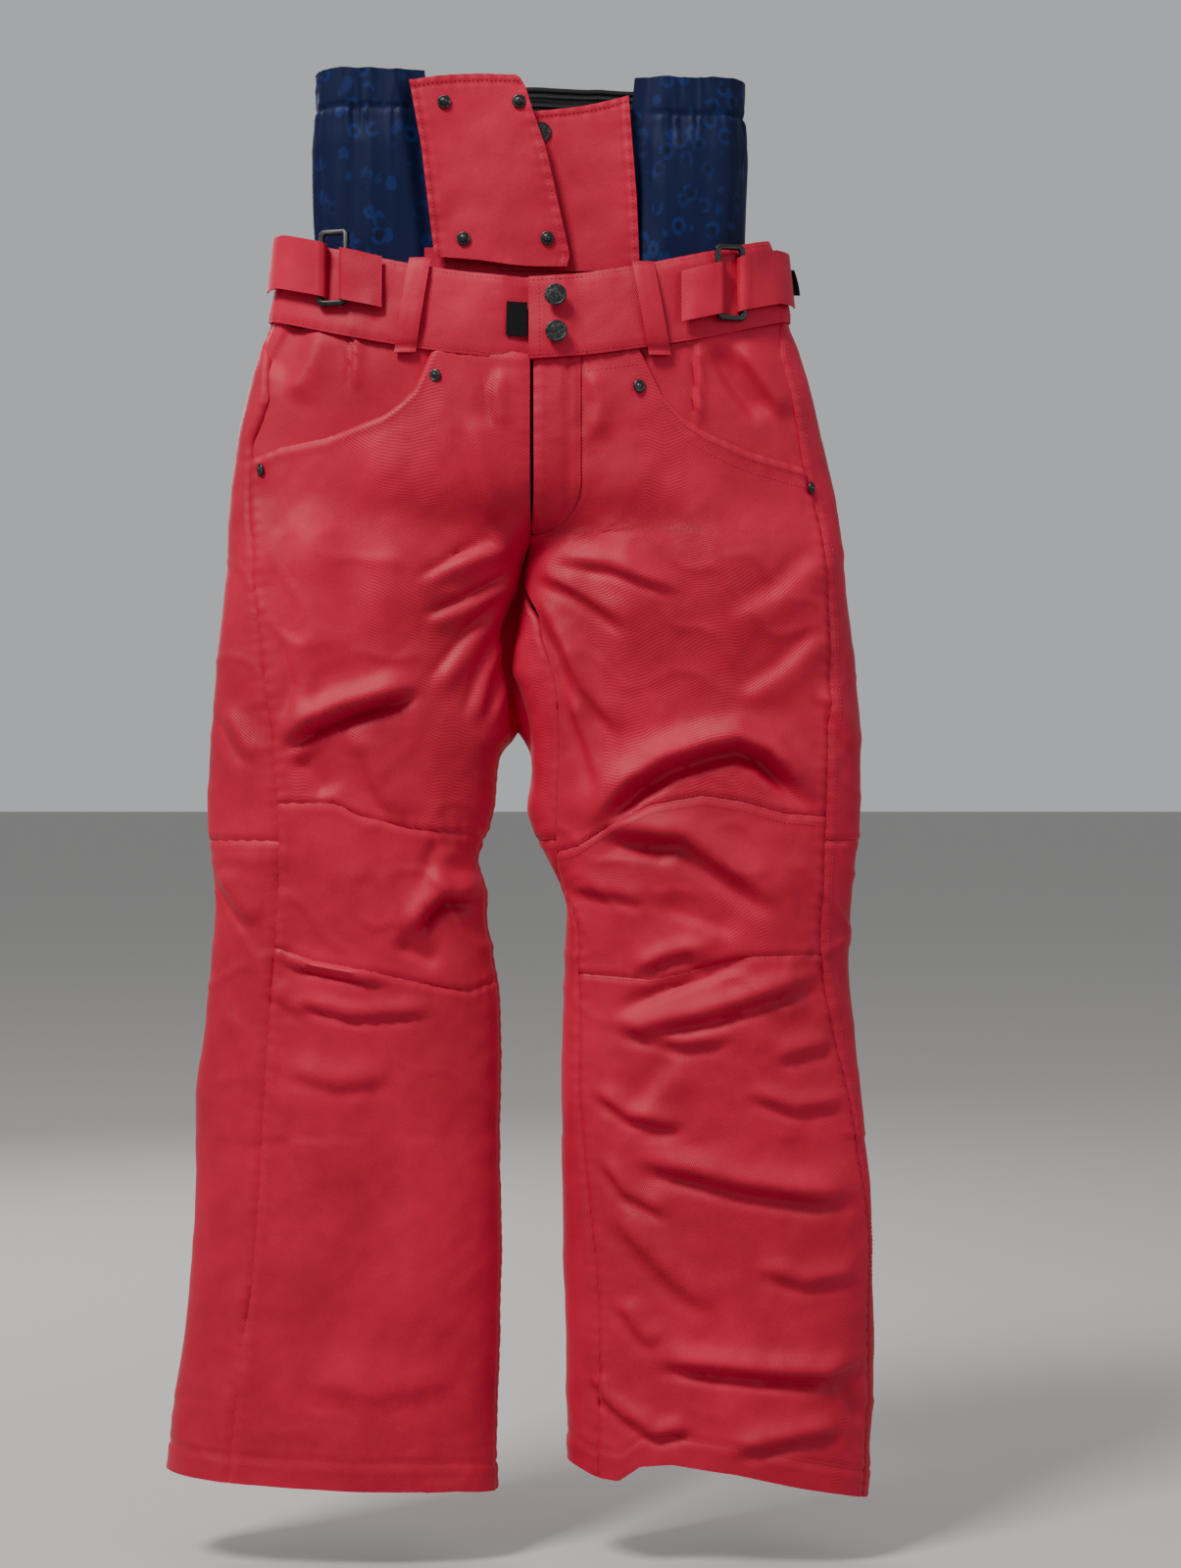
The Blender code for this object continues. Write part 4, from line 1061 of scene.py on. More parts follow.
def makeLeg(side):
    start, inner = sideTurns[side], inTurns[side]
    back = lambda z: 360.0 + start(z)
    knee = lambda s: seamHeight(side, seams["kneeTop"][side], s, start, inner, -0.575)
    shin = lambda s: seamHeight(side, seams["kneeLow"][side], s, start, inner, -0.69)

    def behind(z):
        # down the centre of the seat, then down the inseam
        below = 180.001 + (inner(z) - 180) * ease((shape["crotch"] - z) / 0.05)
        return np.where(z > shape["crotch"] - 0.001, 180.001, below)

    made = []
    if side == "left":
        # the fly's facing is its own cut, lying over the front's edge
        heights = np.linspace(-0.375, -0.15, 300)
        facingTurns = turnForSeen(side, flyReach(heights), heights)
        underTurns = turnForSeen(side, np.maximum(flyReach(heights) - 0.004, 0), heights)
        # it gapes a little below the band and again above its end
        upperGape = 0.0022 * np.exp(-(((heights + 0.236) / 0.018) ** 2))
        lowerGape = 0.0026 * np.exp(-(((heights + 0.334) / 0.022) ** 2))
        gapTurns = turnForSeen(side, upperGape + lowerGape, heights)
        flyTurn = lambda z: np.interp(z, heights, facingTurns)
        flyGap = lambda z: np.interp(z, heights, gapTurns)
        frontEnd = lambda z: np.where(z > flyEnd, np.interp(z, heights, underTurns), inner(z))
        made.append((clothPanel(
            "front_left", side, start, frontEnd, frontTop(side, frontEnd), knee, 21, "ltb", extra=underFacing
        ), ["front_panel_left", "hip_fold_left", "thigh_front_left"], hipBlend[side]))
        made.append((clothPanel(
            "flyFacing", side, flyTurn, flyGap,
            lambda s: bandBottom(frontTurn(flyWidth) + (180 - frontTurn(flyWidth)) * np.asarray(s)) + 0.004,
            flat(flyEnd + 0.0008), 22, "rt", extra=jStitch
        ), ["fly_facing"], ("hips", "fly_flap", (0.040, -0.05, -0.358), (0.022, -0.05, -0.262))))
    else:
        made.append((clothPanel(
            "front_right", side, start, inner, frontTop(side), knee, 21, "lrtb"
        ), ["front_panel_right", "thigh_front_right", "hip_fold_right"], hipBlend[side]))
    made.append((clothPanel(
        f"knee_{side}", side, start, inner, knee, shin, 23, "lrtb"
    ), [f"knee_fold_{side}"], kneeBlend[side]))
    made.append((clothPanel(
        f"shinFront_{side}", side, start, inner, shin, flat(shape["hem"]), 24, "lrt", extra=hemStitchGroove
    ), [f"shin_front_{side}"], kneeBlend[side]))

    def seatTop(s):
        return bandBottom(180.001 + (360 + 36 - 180) * np.asarray(s)) + 0.004

    made.append((clothPanel(
        f"back_{side}", side, behind, back, seatTop, flat(crossSeam), 25, "lrtb"
    ), [f"seat_{side}", f"thigh_back_{side}"], hipBlend[side]))
    made.append((clothPanel(
        f"shinBack_{side}", side, behind, back, flat(crossSeam), flat(shape["hem"]), 26, "lrt",
        extra=hemStitchGroove,
    ), [f"shin_back_{side}"], kneeBlend[side]))
    for piece, nodes, blend in made:
        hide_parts(*nodes)
        settle(piece, blend=blend)


makeLeg("right")
makeLeg("left")
print("pants: legs made")

# The waistband, its overlap, the belt loops and the side adjusters.


def bandGrid(stations, top=0.0, bottom=1.0, rows=20):
    # stations are (side, turn, out) round the waist
    down = np.linspace(top, bottom, rows + 1)
    columns = []
    for side, turn, out in stations:
        z = bandTop(turn) - band["height"] * down
        columns.append(sectionPoint(side, np.full(down.shape, turn), z, -out))
    return np.stack(columns, axis=1)


def turnsBetween(side, first, last, out, step=2.2):
    count = max(2, int(abs(last - first) / step))
    return [(side, t, out) for t in np.linspace(first, last, count + 1)]


def outwardNormals(grid):
    # normals that point away from the middle of the garment
    normal = gridNormals(grid)
    return normal if (normal * grid * np.array([1, 1, 0])).sum() > 0 else -normal


def dressBand(outer, away, seed, pad=0.0007):
    # seam grooves near both long edges, small puckers and a little slackness
    normal = outwardNormals(outer)
    across = np.linalg.norm(np.diff(outer, axis=0), axis=2)
    down = np.concatenate([np.zeros((1, outer.shape[1])), np.cumsum(across, axis=0)])
    steps = np.linalg.norm(np.diff(outer, axis=1), axis=2)
    along = np.concatenate([np.zeros((outer.shape[0], 1)), np.cumsum(steps, axis=1)], axis=1)
    rise = pad * np.sin(np.clip(down / down[-1:], 0, 1) * math.pi) ** 0.5
    for edge in (down, down[-1:] - down):
        rise = rise - 0.0006 * np.exp(-(((edge - away) / 0.0015) ** 2))
        rise = rise - 0.0009 * np.exp(-((edge / 0.0018) ** 2)) + pucker(edge, along, seed) * 0.8
    x, z = outer[..., 0] + outer[..., 1] * 0.7, outer[..., 2]
    rise = rise + wobble(x, z, 0.030, 41, 1.0) * 0.0013 + wobble(x, z, 0.012, 44) * 0.0005
    return outer + normal * rise[..., None]


waist = {"underlap": 0.028, "loopWidth": 0.017, "loopThick": 0.0022, "strapTall": 0.040, "strapThick": 0.0013}
bandPieces = {}


def makeBand(name, stations, nodes, body="hips", thick=0.0026, seed=40, rows=22):
    outer = dressBand(bandGrid(stations, rows=rows), 0.0035, seed)
    made = gridShell(name, outer, thick, "coralShell", outer * np.array([1, 1, 0]))
    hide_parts(*nodes)
    settle(made, body)
    bandPieces[name] = outer
    return made


def taperOut(side, first, last, outFirst, outLast, step=1.5):
    count = max(3, int(abs(last - first) / step))
    share = np.linspace(0, 1, count + 1)
    return [(side, first + (last - first) * a, outFirst + (outLast - outFirst) * ease(a)) for a in share]


makeBand(
    "waistbandRight",
    turnsBetween("right", 33, 170, band["out"]) + taperOut("right", 171, 180, band["out"], 0.0004)
    + taperOut("left", 179.5, frontTurn(waist["underlap"]), 0.0004, -0.0012),
    ["waistband_right"], seed=41,
)
leftStations = turnsBetween("left", 33, frontTurn(0.0396), band["out"])
makeBand("waistbandLeft", leftStations, ["waistband_left"], seed=42)
makeBand(
    "waistOverlap",
    taperOut("left", frontTurn(0.0400), frontTurn(0.020), band["out"], 0.0062, 1.2)
    + taperOut("left", frontTurn(0.019), 180.0, 0.0062, 0.0066, 1.2),
    ["waist_overlap"], body="fly_flap", seed=43,
)
makeBand(
    "waistbandBack",
    turnsBetween("right", 36.5 + 360, 181, band["out"])
    + turnsBetween("left", 180.5, 36.5 + 360, band["out"]),
    ["waistband_back"], seed=44,
)


def declare(grid):
    # its flat size, measured along the finished cloth
    across = np.linalg.norm(np.diff(grid, axis=1), axis=2)
    down = np.linalg.norm(np.diff(grid, axis=0), axis=2)
    width, length = float(across.sum(1).max()), float(down.sum(0).max())
    area = float((across[:-1] * down[:, :-1]).sum())
    area = min(max(area, 0.31 * width * length), width * length)


def patchPiece(
    name, grid, thick, finish, slotName, nodes=(), body="hips",
    blend=None, outward=(0, -1, 0), restsOn=None, held="stretched",
):
    made = gridShell(name, grid, thick, finish, np.broadcast_to(np.array(outward, float), grid.shape))
    if nodes:
        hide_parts(*nodes)
    if restsOn:
        declare(grid)
    return settle(made, body, blend)


def makeLoop(name, node, top, low, back=False):
    # a belt loop: sewn above and below the band, standing off it between
    rows, columns = 34, 10
    t = np.linspace(0, 1, rows + 1)[:, None]
    s = np.linspace(-1, 1, columns + 1)[None, :]
    x = top[0] + (low[0] - top[0]) * t + s * waist["loopWidth"] / 2
    z = top[1] + (low[1] - top[1]) * t + 0 * s
    turn = np.degrees(2 * np.arccos(np.clip(np.abs(x) / shape["waistHalf"], 0, 1) ** (1 / shape["power"])))
    turn = 360 - turn if back else turn
    which = np.where(x >= 0, 1, -1)
    right, left = (sectionPoint(k, turn, z, -0.0001) for k in ("right", "left"))
    base = np.where((which > 0)[..., None], left, right)
    out = 0.0046 + 0.0052 * np.sin(np.clip((t - 0.04) / 0.90, 0, 1) * math.pi) ** 0.6
    out = out - 0.0008 * np.abs(s) ** 6 - 0.0005 * np.exp(-(((np.abs(s) - 0.72) / 0.10) ** 2))
    out = out - 0.0009 * np.exp(-(((t - 0.93) / 0.02) ** 2)) + wobble(x, z, 0.014, 51) * 0.0005
    base[..., 1] += out * (1 if back else -1)
    base[..., 0] = x
    under = "waistbandBack" if back else "waistbandRight" if top[0] < 0 else "waistbandLeft"
    patchPiece(
        name, base, waist["loopThick"], "coralShell", "shell_cloth", [node],
        outward=(0, 1 if back else -1, 0), restsOn=[under],
    )


makeLoop("beltLoopFrontRight", "belt_loop_front_right", (-0.0840, -0.1496), (-0.0955, -0.2235))
makeLoop("beltLoopFrontLeft", "belt_loop_front_left", (0.0880, -0.1525), (0.1010, -0.2255))
makeLoop("beltLoopBackRight", "belt_loop_back_right", (-0.1134, -0.1215), (-0.1134, -0.1945), True)
makeLoop("beltLoopBackLeft", "belt_loop_back_left", (0.1134, -0.1215), (0.1134, -0.1945), True)
makeLoop("beltLoopCentreBack", "belt_loop_centre_back", (0.0002, -0.1170), (0.0002, -0.1890), True)

lifts = {"right": 0.012, "left": 0.0}


def wrapGrid(side, bar, path, tall, flare=0.0):
    # a strap standing on edge, its path in millimetres from a buckle's bar
    path = np.array(path, float)
    steps = np.concatenate([[0], np.cumsum(np.linalg.norm(np.diff(path, axis=0), axis=1))])
    fine = np.linspace(0, steps[-1], int(steps[-1] / 1.0) + 1)
    x = bar[0] + smoothAt(steps, path[:, 0], fine) / 1000
    y = bar[1] + smoothAt(steps, path[:, 1], fine) / 1000
    rows = 18
    offset = (np.linspace(0.5, -0.5, rows + 1) * tall)[:, None]
    turns = np.array([frontTurn(k) for k in x])
    z = bandTop(turns) - band["height"] / 2 + lifts[side] + offset
    lean = -offset * flare * ease((x - bar[0] - 0.006) / 0.025)
    drop = -offset * 0.13 * ease((bar[0] - x - 0.004) / 0.02)
    slack = 0.0006 * wobble(x + 0 * z, z, 0.016, 61)
    return np.stack([sign[side] * (x + lean + 0 * z), y - lean * 0.6 - drop - slack + 0 * z, z], axis=2)


def strapGrid(side, path, tall):
    # path holds (turn, out): a strap standing on edge round the band
    dense = []
    for (a, p), (b, q) in zip(path[:-1], path[1:]):
        count = max(2, int((abs(b - a) * 0.0018 + abs(q - p)) / 0.0014))
        dense += [(a + (b - a) * k / count, p + (q - p) * k / count) for k in range(count)]
    dense.append(path[-1])
    rows = 16
    offset = np.linspace(0.5, -0.5, rows + 1) * tall
    columns = []
    for turn, out in dense:
        z = bandTop(turn) - band["height"] / 2 + lifts[side] + offset
        bow = 0.0007 * np.cos(offset / tall * math.pi)
        columns.append(sectionPoint(side, np.full(offset.shape, turn), z, -(out + bow)))
    return np.stack(columns, axis=1)


# the two bars of each buckle, as (x from the centre, y)
buckleBars = {
    "right": ((0.14225, -0.0429), (0.1615, -0.0374)),
    "left": ((0.14664, -0.0429), (0.16576, -0.0370)),
}

# each strap's way through its buckle, in millimetres from a bar
strapPaths = {
    "keeper": [
        (-29, -7.2), (-20, -8.2), (-10, -7.7), (-2, -6.3), (2.6, -4.9),
        (4.6, -1.6), (4.0, 2.0), (0.8, 4.2), (-6, 3.0), (-14, 0.8),
    ],
    "tab": [
        (1.0, 5.3), (-1.4, 4.9), (-4.0, 3.4), (-4.8, 0.0), (-3.2, -4.4),
        (1.2, -6.2), (8.5, -3.6), (15.8, -0.2), (22.4, 3.8), (28.4, 8.0),
        (33.6, 12.8), (38, 18.4), (41.3, 24.7), (43.0, 31.0), (43.0, 34.0),
    ],
    "leftReach": 0.94,
}

# the webbing ends that stick out at each side, as (turn, distance out)
pullPaths = {
    "right": [(17, 0.0074), (9, 0.0072), (6, 0.0074)],
    "left": [(17, 0.0074), (8, 0.0072), (0.2, 0.0088), (0.1, 0.0120), (0.0, 0.0165)],
}

for side in sign:
    inner, outer = buckleBars[side]
    strap = {"restsOn": [f"buckleFrame_{side}"], "held": "folded"}
    grid = wrapGrid(side, inner, strapPaths["keeper"], waist["strapTall"])
    patchPiece(
        f"adjusterKeeper_{side}", grid, waist["strapThick"], "coralShell", "shell_cloth",
        [f"adjuster_keeper_{side}"], **strap,
    )
    reach = strapPaths["leftReach"] if side == "left" else 1
    tab = [(a if a < 0 else a * reach, b) for a, b in strapPaths["tab"]]
    grid = wrapGrid(side, outer, tab, waist["strapTall"] + 0.002, 0.10)
    patchPiece(
        f"adjusterTab_{side}", grid, waist["strapThick"], "coralShell", "shell_cloth",
        [f"adjuster_tab_{side}"], f"tab_{side}", outward=(sign[side] * 0.7, -0.7, 0), **strap,
    )
    patchPiece(
        f"pullEnd_{side}", strapGrid(side, pullPaths[side], 0.020), 0.0011, "blackWebbing", "webbing",
        [], f"tab_{side}", outward=(sign[side], -0.3, 0),
    )
    made = refined(f"buckleFrame_{side}", f"buckle_{side}", "buckleBlack", 0.0008)
    settle(made, f"buckle_{side}")

patchStations = [("right", frontTurn(x), band["out"] + 0.0016) for x in np.linspace(0.016, 0.001, 9)]
patch = bandGrid(patchStations, 0.32, 0.73, 10)
patchPiece("loopPatch", patch, 0.0010, "blackWebbing", "webbing", ["loop_patch"], restsOn=["waistbandRight"])
print("pants: waist made")

# Hand pockets: a facing under each curved mouth, and a bag behind the front.

pocket = {"bag": 0.160, "facingPast": 0.030, "gape": 0.0045}

for side in sign:
    start, end = sideTurns[side], inTurns[side]
    mouthTurn = lambda z: np.full(np.shape(z), float(frontTurn(0.052)))
    outerTurn = lambda z: start(z) - 5.0
    heightAt = lambda s: seamHeight(side, seams["mouth"][side], s, outerTurn, mouthTurn, -0.26)
    s = np.linspace(0, 1, 60)[None, :]
    t = np.linspace(0, 1, 40)[:, None]
    # the facing runs from under the waistband to below the mouth
    topZ = bandBottom(36 + (frontTurn(0.052) - 36) * s) + 0.004
    mouthZ = np.minimum(heightAt(s), topZ - 0.004)
    z = topZ + (mouthZ - pocket["facingPast"] - topZ) * t
    turn = outerTurn(z) + (mouthTurn(z) - outerTurn(z)) * s
    opened = ease((topZ - z) / np.maximum(topZ - mouthZ, 0.004))
    hollow = 0.0012 + pocket["gape"] * opened * np.sin(np.clip(s, 0.02, 0.98) * math.pi) ** 0.4
    base = sectionPoint(side, turn, z, hollow)
    u, v = seenAt(base[..., 0], base[..., 1], base[..., 2])
    rise = sum(foldHeight(u, v, *fold) for fold in folds["mouth"]) * 1.7
    rise = rise + wobble(u, v, 0.03, 71) * 0.0010
    base[..., 1] -= rise
    patchPiece(
        f"pocketFacing_{side}", base, 0.0013, "coralShell", "shell_cloth",
        [f"pocket_bag_{side}"], restsOn=[f"front_{side}"],
    )
    # the bag hangs behind the front panel
    depth = np.linspace(0, 1, 50)[:, None]
    z = -0.232 - pocket["bag"] * 0.88 * np.sin(np.clip(depth, 0, 1) * math.pi) * np.ones_like(s)
    turn = frontTurn(0.196) + 8 + (frontTurn(0.060) - frontTurn(0.196) - 8) * s + 0 * depth
    inset = 0.0135 + 0.0050 * ease(depth) + 0.001 * wobble(s * 0.2, depth * 0.2, 0.03, 72)
    patchPiece(
        f"pocketBag_{side}", sectionPoint(side, turn, z, inset), 0.0007, "darkLining", "lining_cloth",
        restsOn=[f"front_{side}"], held="hung",
    )
print("pants: pockets made")

# The gaiter: gathered printed sides and back, inner elastic, and two overlapping flaps.

gaiter = {
    "half": 0.168, "radius": 0.027, "casing": 0.030, "low": -0.187,
    "thick": 0.0011, "tilt": -0.0075, "seeds": {"right": 81, "left": 85},
}
straight = gaiter["half"] - gaiter["radius"]


def gaiterSection(distance, side):
    # round the gaiter from the centre front, by distance
    arc = math.pi * gaiter["radius"]
    a = np.clip((distance - straight) / arc, 0, 1) * math.pi - math.pi / 2
    x = np.where(distance < straight, distance, straight + gaiter["radius"] * np.cos(a))
    x = np.where(distance > straight + arc, straight - (distance - straight - arc), x)
    y = gaiter["radius"] * np.sin(a)
    return sign[side] * x, y


def gatherHeight(along, z, seed):
    # ruffles are tight at the casing's stitch and open out below it
    below = -z - gaiter["casing"]
    inCasing = np.where(below < 0, 1.0, 0.0)
    fine = 1 - np.abs(wobble(along + 0.0010 * wobble(along, z, 0.02, seed + 9), z, 0.0062, seed, 6.0)) * 2
    broad = wobble(along + 0.004 * wobble(along, z, 0.04, seed + 8), z, 0.015, seed + 1, 7.0)
    tight = np.exp(-np.clip(below, 0, 1) / 0.028)
    rise = inCasing * (0.0009 * fine + 0.0010 * broad)
    rise += (1 - inCasing) * (fine * 0.0019 * tight + broad * (0.0020 + 0.0016 * (1 - tight)))
    rise -= 0.0016 * np.exp(-(((below) / 0.0022) ** 2))
    return rise + (1 - inCasing) * 0.0022 * ease(below / 0.03) * ease((0.13 - below) / 0.08)


def rimLine(x):
    return 0.0022 + gaiter["tilt"] * ease((x + 0.17) / 0.34) + 0.0007 * wobble(x, x * 0, 0.009, 89)


def gaiterGrid(first, last, side, seed, columns=90, rows=76):
    t = np.linspace(0, 1, rows + 1)[:, None]
    s = np.linspace(0, 1, columns + 1)[None, :]
    z = gaiter["low"] * t + 0 * s
    distance = first(z) + (last - first(z)) * s
    x, y = gaiterSection(distance, side)
    base = np.stack([x, y, z + rimLine(x) * (1 - t)], axis=-1)
    normal = outwardNormals(base)
    # the edge under a flap lies flat
    calm = ease((distance - first(z) - 0.009) / 0.014)
    rise = gatherHeight(sign[side] * distance, z, seed) * calm - 0.0060 * (1 - calm)
    return base + normal * rise[..., None], normal


def flapSeam(z):
    return 0.094 + (0.078 - 0.094) * np.clip(z / -0.160, 0, 1)


for side in sign:
    behindBack = straight + math.pi * gaiter["radius"] + 0.001
    grid, normal = gaiterGrid(lambda z: flapSeam(z) - 0.012, behindBack, side, gaiter["seeds"][side])
    made = gridShell(f"gaiterSide_{side}", grid, gaiter["thick"], "navyPrint", normal)
    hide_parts(f"gaiter_side_{side}")
    settle(made, "hips")

t, x = np.linspace(0, 1, 61)[:, None], np.linspace(-0.140, 0.140, 161)[None, :]
z = gaiter["low"] * t + 0 * x
y = 0.0270 + gatherHeight(x + 0 * t, z, 88) - 0.0008
backGrid = np.stack([x + 0 * t, y, z + rimLine(x) * (1 - t)], axis=-1)
patchPiece("gaiterBack", backGrid, 0.0010, "navyPrint", "print_cloth", ["gaiter_back"], outward=(0, 1, 0))

t, x = np.linspace(0, 1, 61)[:, None], np.linspace(-0.141, 0.141, 121)[None, :]
ribs = 0.0005 * np.sin(t * 2 * math.pi * 6) + 0.0004 * wobble(x + 0 * t, t * 0, 0.02, 90)
elasticGrid = np.stack([x + 0 * t, 0.0208 - ribs, -0.0005 - 0.0415 * t + rimLine(x) * (1 - t)], axis=-1)
patchPiece(
    "gaiterElastic", elasticGrid, 0.0010, "ribElastic", "elastic", ["gaiter_elastic"], restsOn=["gaiterBack"]
)

flaps = {
    "right": {
        "leftEdge": ([-160, -139, -60, -8], [-74, -74.5, -84, -93.5]),
        "rightEdge": ([-156, -146, -101, -63, -33, -15, -7, -3], [29, 31.5, 21.5, 13, 2.5, -3, -8, -18]),
        "top": [-9.5, -6.0, -5.0, -6.0], "low": [-146.5, -149.5, -154, -155],
        "y": -0.0352, "seed": 95, "curl": 0.0035, "width": 0.124,
    },
    "left": {
        "leftEdge": ([-160, -100, -30], [-22, -18, -10]),
        "rightEdge": ([-160, -100, -68, -18], [86, 83.5, 81, 77]),
        "top": [-34, -31, -27, -20], "low": [-156, -157, -157, -154],
        "y": -0.0288, "seed": 97, "curl": 0.0, "width": 0.108,
    },
}


def flapGrid(side):
    facts = flaps[side]
    seed = facts["seed"]
    s, t = np.linspace(0, 1, 56)[None, :], np.linspace(0, 1, 70)[:, None]
    stops = np.linspace(0, 1, 4)
    top = smoothAt(stops, facts["top"], s)
    low = smoothAt(stops, facts["low"], s)
    z = top + (low - top) * t
    left = np.interp(z, *facts["leftEdge"])
    right = np.interp(z, *facts["rightEdge"])
    x = left + (right - left) * s
    across, down = (x - left) / 1000, (top - z) / 1000
    y = facts["y"] - 0.0016 * wobble(x / 1000, z / 1000, 0.055, seed, 1.4) * ease(s / 0.2)
    y = y - facts["curl"] * s**2.5 * (0.35 + 0.65 * np.sin(t * math.pi) ** 2)
    y = y - 0.0006 * wobble(x / 1000, z / 1000, 0.018, seed + 1)
    for away in (across, (right - x) / 1000, down):
        y = y - 0.0004 * np.exp(-(((away - 0.0030) / 0.0022) ** 2))
        y = y + 0.0005 * np.exp(-(((away - 0.0062) / 0.0012) ** 2))
        y = y - pucker(away, z / 1000 if away is not down else x / 1000, seed)
    return np.stack([x, y * 1000, z], axis=-1) / 1000


for side in sign:
    made = patchPiece(
        f"gaiterFlap_{side}", flapGrid(side), 0.0014, "coralShell", "shell_cloth",
        [f"gaiter_flap_{side}"], f"gaiter_flap_{side}",
    )
    width, under = flaps[side]["width"], [f"gaiterSide_{side}"]
    width * 0.150 * 0.86

# a strip sewn between the gaiter's foot and the waistband closes the front below the flaps
t, x = np.linspace(0, 1, 20)[:, None], np.linspace(-0.082, 0.082, 60)[None, :]
y = -0.0262 - 0.0012 * wobble(x + 0 * t, t * 0.04, 0.03, 99) + 0 * x
foot = np.stack([x + 0 * t, y, -0.138 - 0.049 * t + 0 * x], axis=-1)
patchPiece(
    "gaiterFoot", foot, 0.0012, "coralShell", "shell_cloth",
    restsOn=["gaiterSide_right", "gaiterSide_left"], held="hung",
)
print("pants: gaiter made")

# Snaps and rivets, turned from small profiles of (radius, height) in millimetres.

fittings = {
    "cap": [
        (2.0, -1.0), (8.1, -1.0), (8.5, -0.3), (8.5, 0.5), (8.2, 1.1), (7.6, 1.35), (6.9, 1.15),
        (6.5, 1.05), (5.0, 1.35), (3.0, 1.55), (1.0, 1.6),
    ],
    "stud": [
        (1.5, -0.8), (5.0, -0.8), (5.3, -0.2), (5.3, 0.5), (4.9, 0.95), (4.2, 1.0), (3.5, 0.6),
        (3.1, 0.7), (2.9, 1.6), (2.5, 2.3), (1.6, 2.65), (0.6, 2.75),
    ],
    "rivet": [
        (1.5, -0.8), (4.8, -0.8), (5.1, -0.1), (4.9, 0.7), (4.2, 1.2), (3.3, 1.25), (2.7, 0.8),
        (2.2, 0.9), (1.8, 1.7), (1.0, 2.1), (0.4, 2.15),
    ],
}


def middle(node):
    low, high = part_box(node)
    return (Vector(low) + Vector(high)) / 2


def makeFitting(name, node, kind, centre, normal, body="hips", scale=1.0):
    profile = [(r * scale, h * scale) for r, h in fittings[kind]]
    made = turned(name, centre, normal, profile, "gunMetal")
    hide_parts(node)
    return settle(made, body)


snaps = {"capY": {"upper": -0.0622, "lower": -0.0638}, "capDrop": 0.003, "proud": 0.0012, "inner": 0.0022}

for place in ("upper", "lower"):
    at = middle(f"waist_cap_{place}")
    centre = (at.x, snaps["capY"][place], at.z - snaps["capDrop"])
    makeFitting(f"waistCap_{place}", f"waist_cap_{place}", "cap", centre, (0.03, -1, 0.10), "fly_flap")
    for reach in ("inner", "outer"):
        node = f"gaiter_stud_{reach}_{place}"
        at = middle(node)
        y = flaps["right"]["y"] - snaps["proud"] - (snaps["inner"] if reach == "inner" else 0)
        makeFitting(
            f"gaiterStud_{reach}_{place}", node, "stud", (at.x, y, at.z), (0.0, -1, 0), "gaiter_flap_right"
        )
    at = middle(f"gaiter_cap_{place}")
    centre = (at.x, flaps["left"]["y"] - snaps["proud"], at.z)
    makeFitting(
        f"gaiterCap_{place}", f"gaiter_cap_{place}", "cap", centre, (0, -1, 0), "gaiter_flap_left", 0.94
    )

rivetPlaces = {
    "inner": {"right": (-73, -241), "left": (85, -249)},
    "outer": {"right": (-208, -311), "left": (218, -325)},
}

for side in sign:
    for reach, seenPlace in rivetPlaces.items():
        node = f"pocket_rivet_{reach}_{side}"
        u, v = (k / 1000 for k in seenPlace[side])
        z = drawing["z"] + (v - drawing["z"]) / spread(-0.04)
        turn = turnForSeen(side, u, z)[0]
        p, q = sectionPoint(side, turn, z), sectionPoint(side, turn, z, 0.004)
        normal = Vector(p - q).normalized()
        makeFitting(f"pocketRivet_{reach}_{side}", node, "rivet", Vector(p) + normal * 0.0012, normal)
print("pants: fittings made")

# The zip: tape, teeth, slider and pull, with a cloth shield behind.

zipFacts = {"x": 0.016, "tape": 0.026, "topZ": -0.227, "lowZ": -0.345, "behind": 0.0026, "slope": 0.0097}


def zipLine(x, count, shift=0.0):
    z = np.linspace(zipFacts["topZ"], zipFacts["lowZ"], count)
    down = (z - zipFacts["topZ"]) / (zipFacts["lowZ"] - zipFacts["topZ"])
    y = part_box("zip_chain")[0][1] + zipFacts["behind"] + down * zipFacts["slope"] + shift
    return np.stack([np.full(count, x), y, z], axis=1)


for k, edge in enumerate((-1, 1)):
    strip = [zipLine(zipFacts["x"] + edge * d, 60) for d in np.linspace(0.0008, zipFacts["tape"] / 2, 8)]
    name = f"zipTape_{'left' if k else 'right'}"
    patchPiece(name, np.stack(strip, axis=1), 0.0007, "zipTape", "zip", restsOn=["flyShield"])
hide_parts("zip_chain")
# the shield wears the darker lining red as painted shade for the recess behind the zip
shield = [zipLine(x, 40, 0.0068) for x in np.linspace(-0.008, 0.044, 24)]
patchPiece(
    "flyShield", np.stack(shield, axis=1), 0.0014, "darkLining", "lining_cloth",
    ["fly_shield"], restsOn=["front_left"], held="hung",
)
settle(refined("zipSlider", "zip_slider", "gunMetal", 0.0004), "zip_slider")
settle(refined("zipPull", "zip_pull", "gunMetal", 0.0004), "zip_pull")
settle(refined("waistStudTape", "waist_stud_tape", "blackWebbing", 0.0003), "hips")

# Snow cuffs inside the lower legs, gathered to an elastic edge.

cuff = {"top": -0.950, "fall": 0.105, "middle": 0.145, "thick": 0.0010, "ruffle": 0.0016}

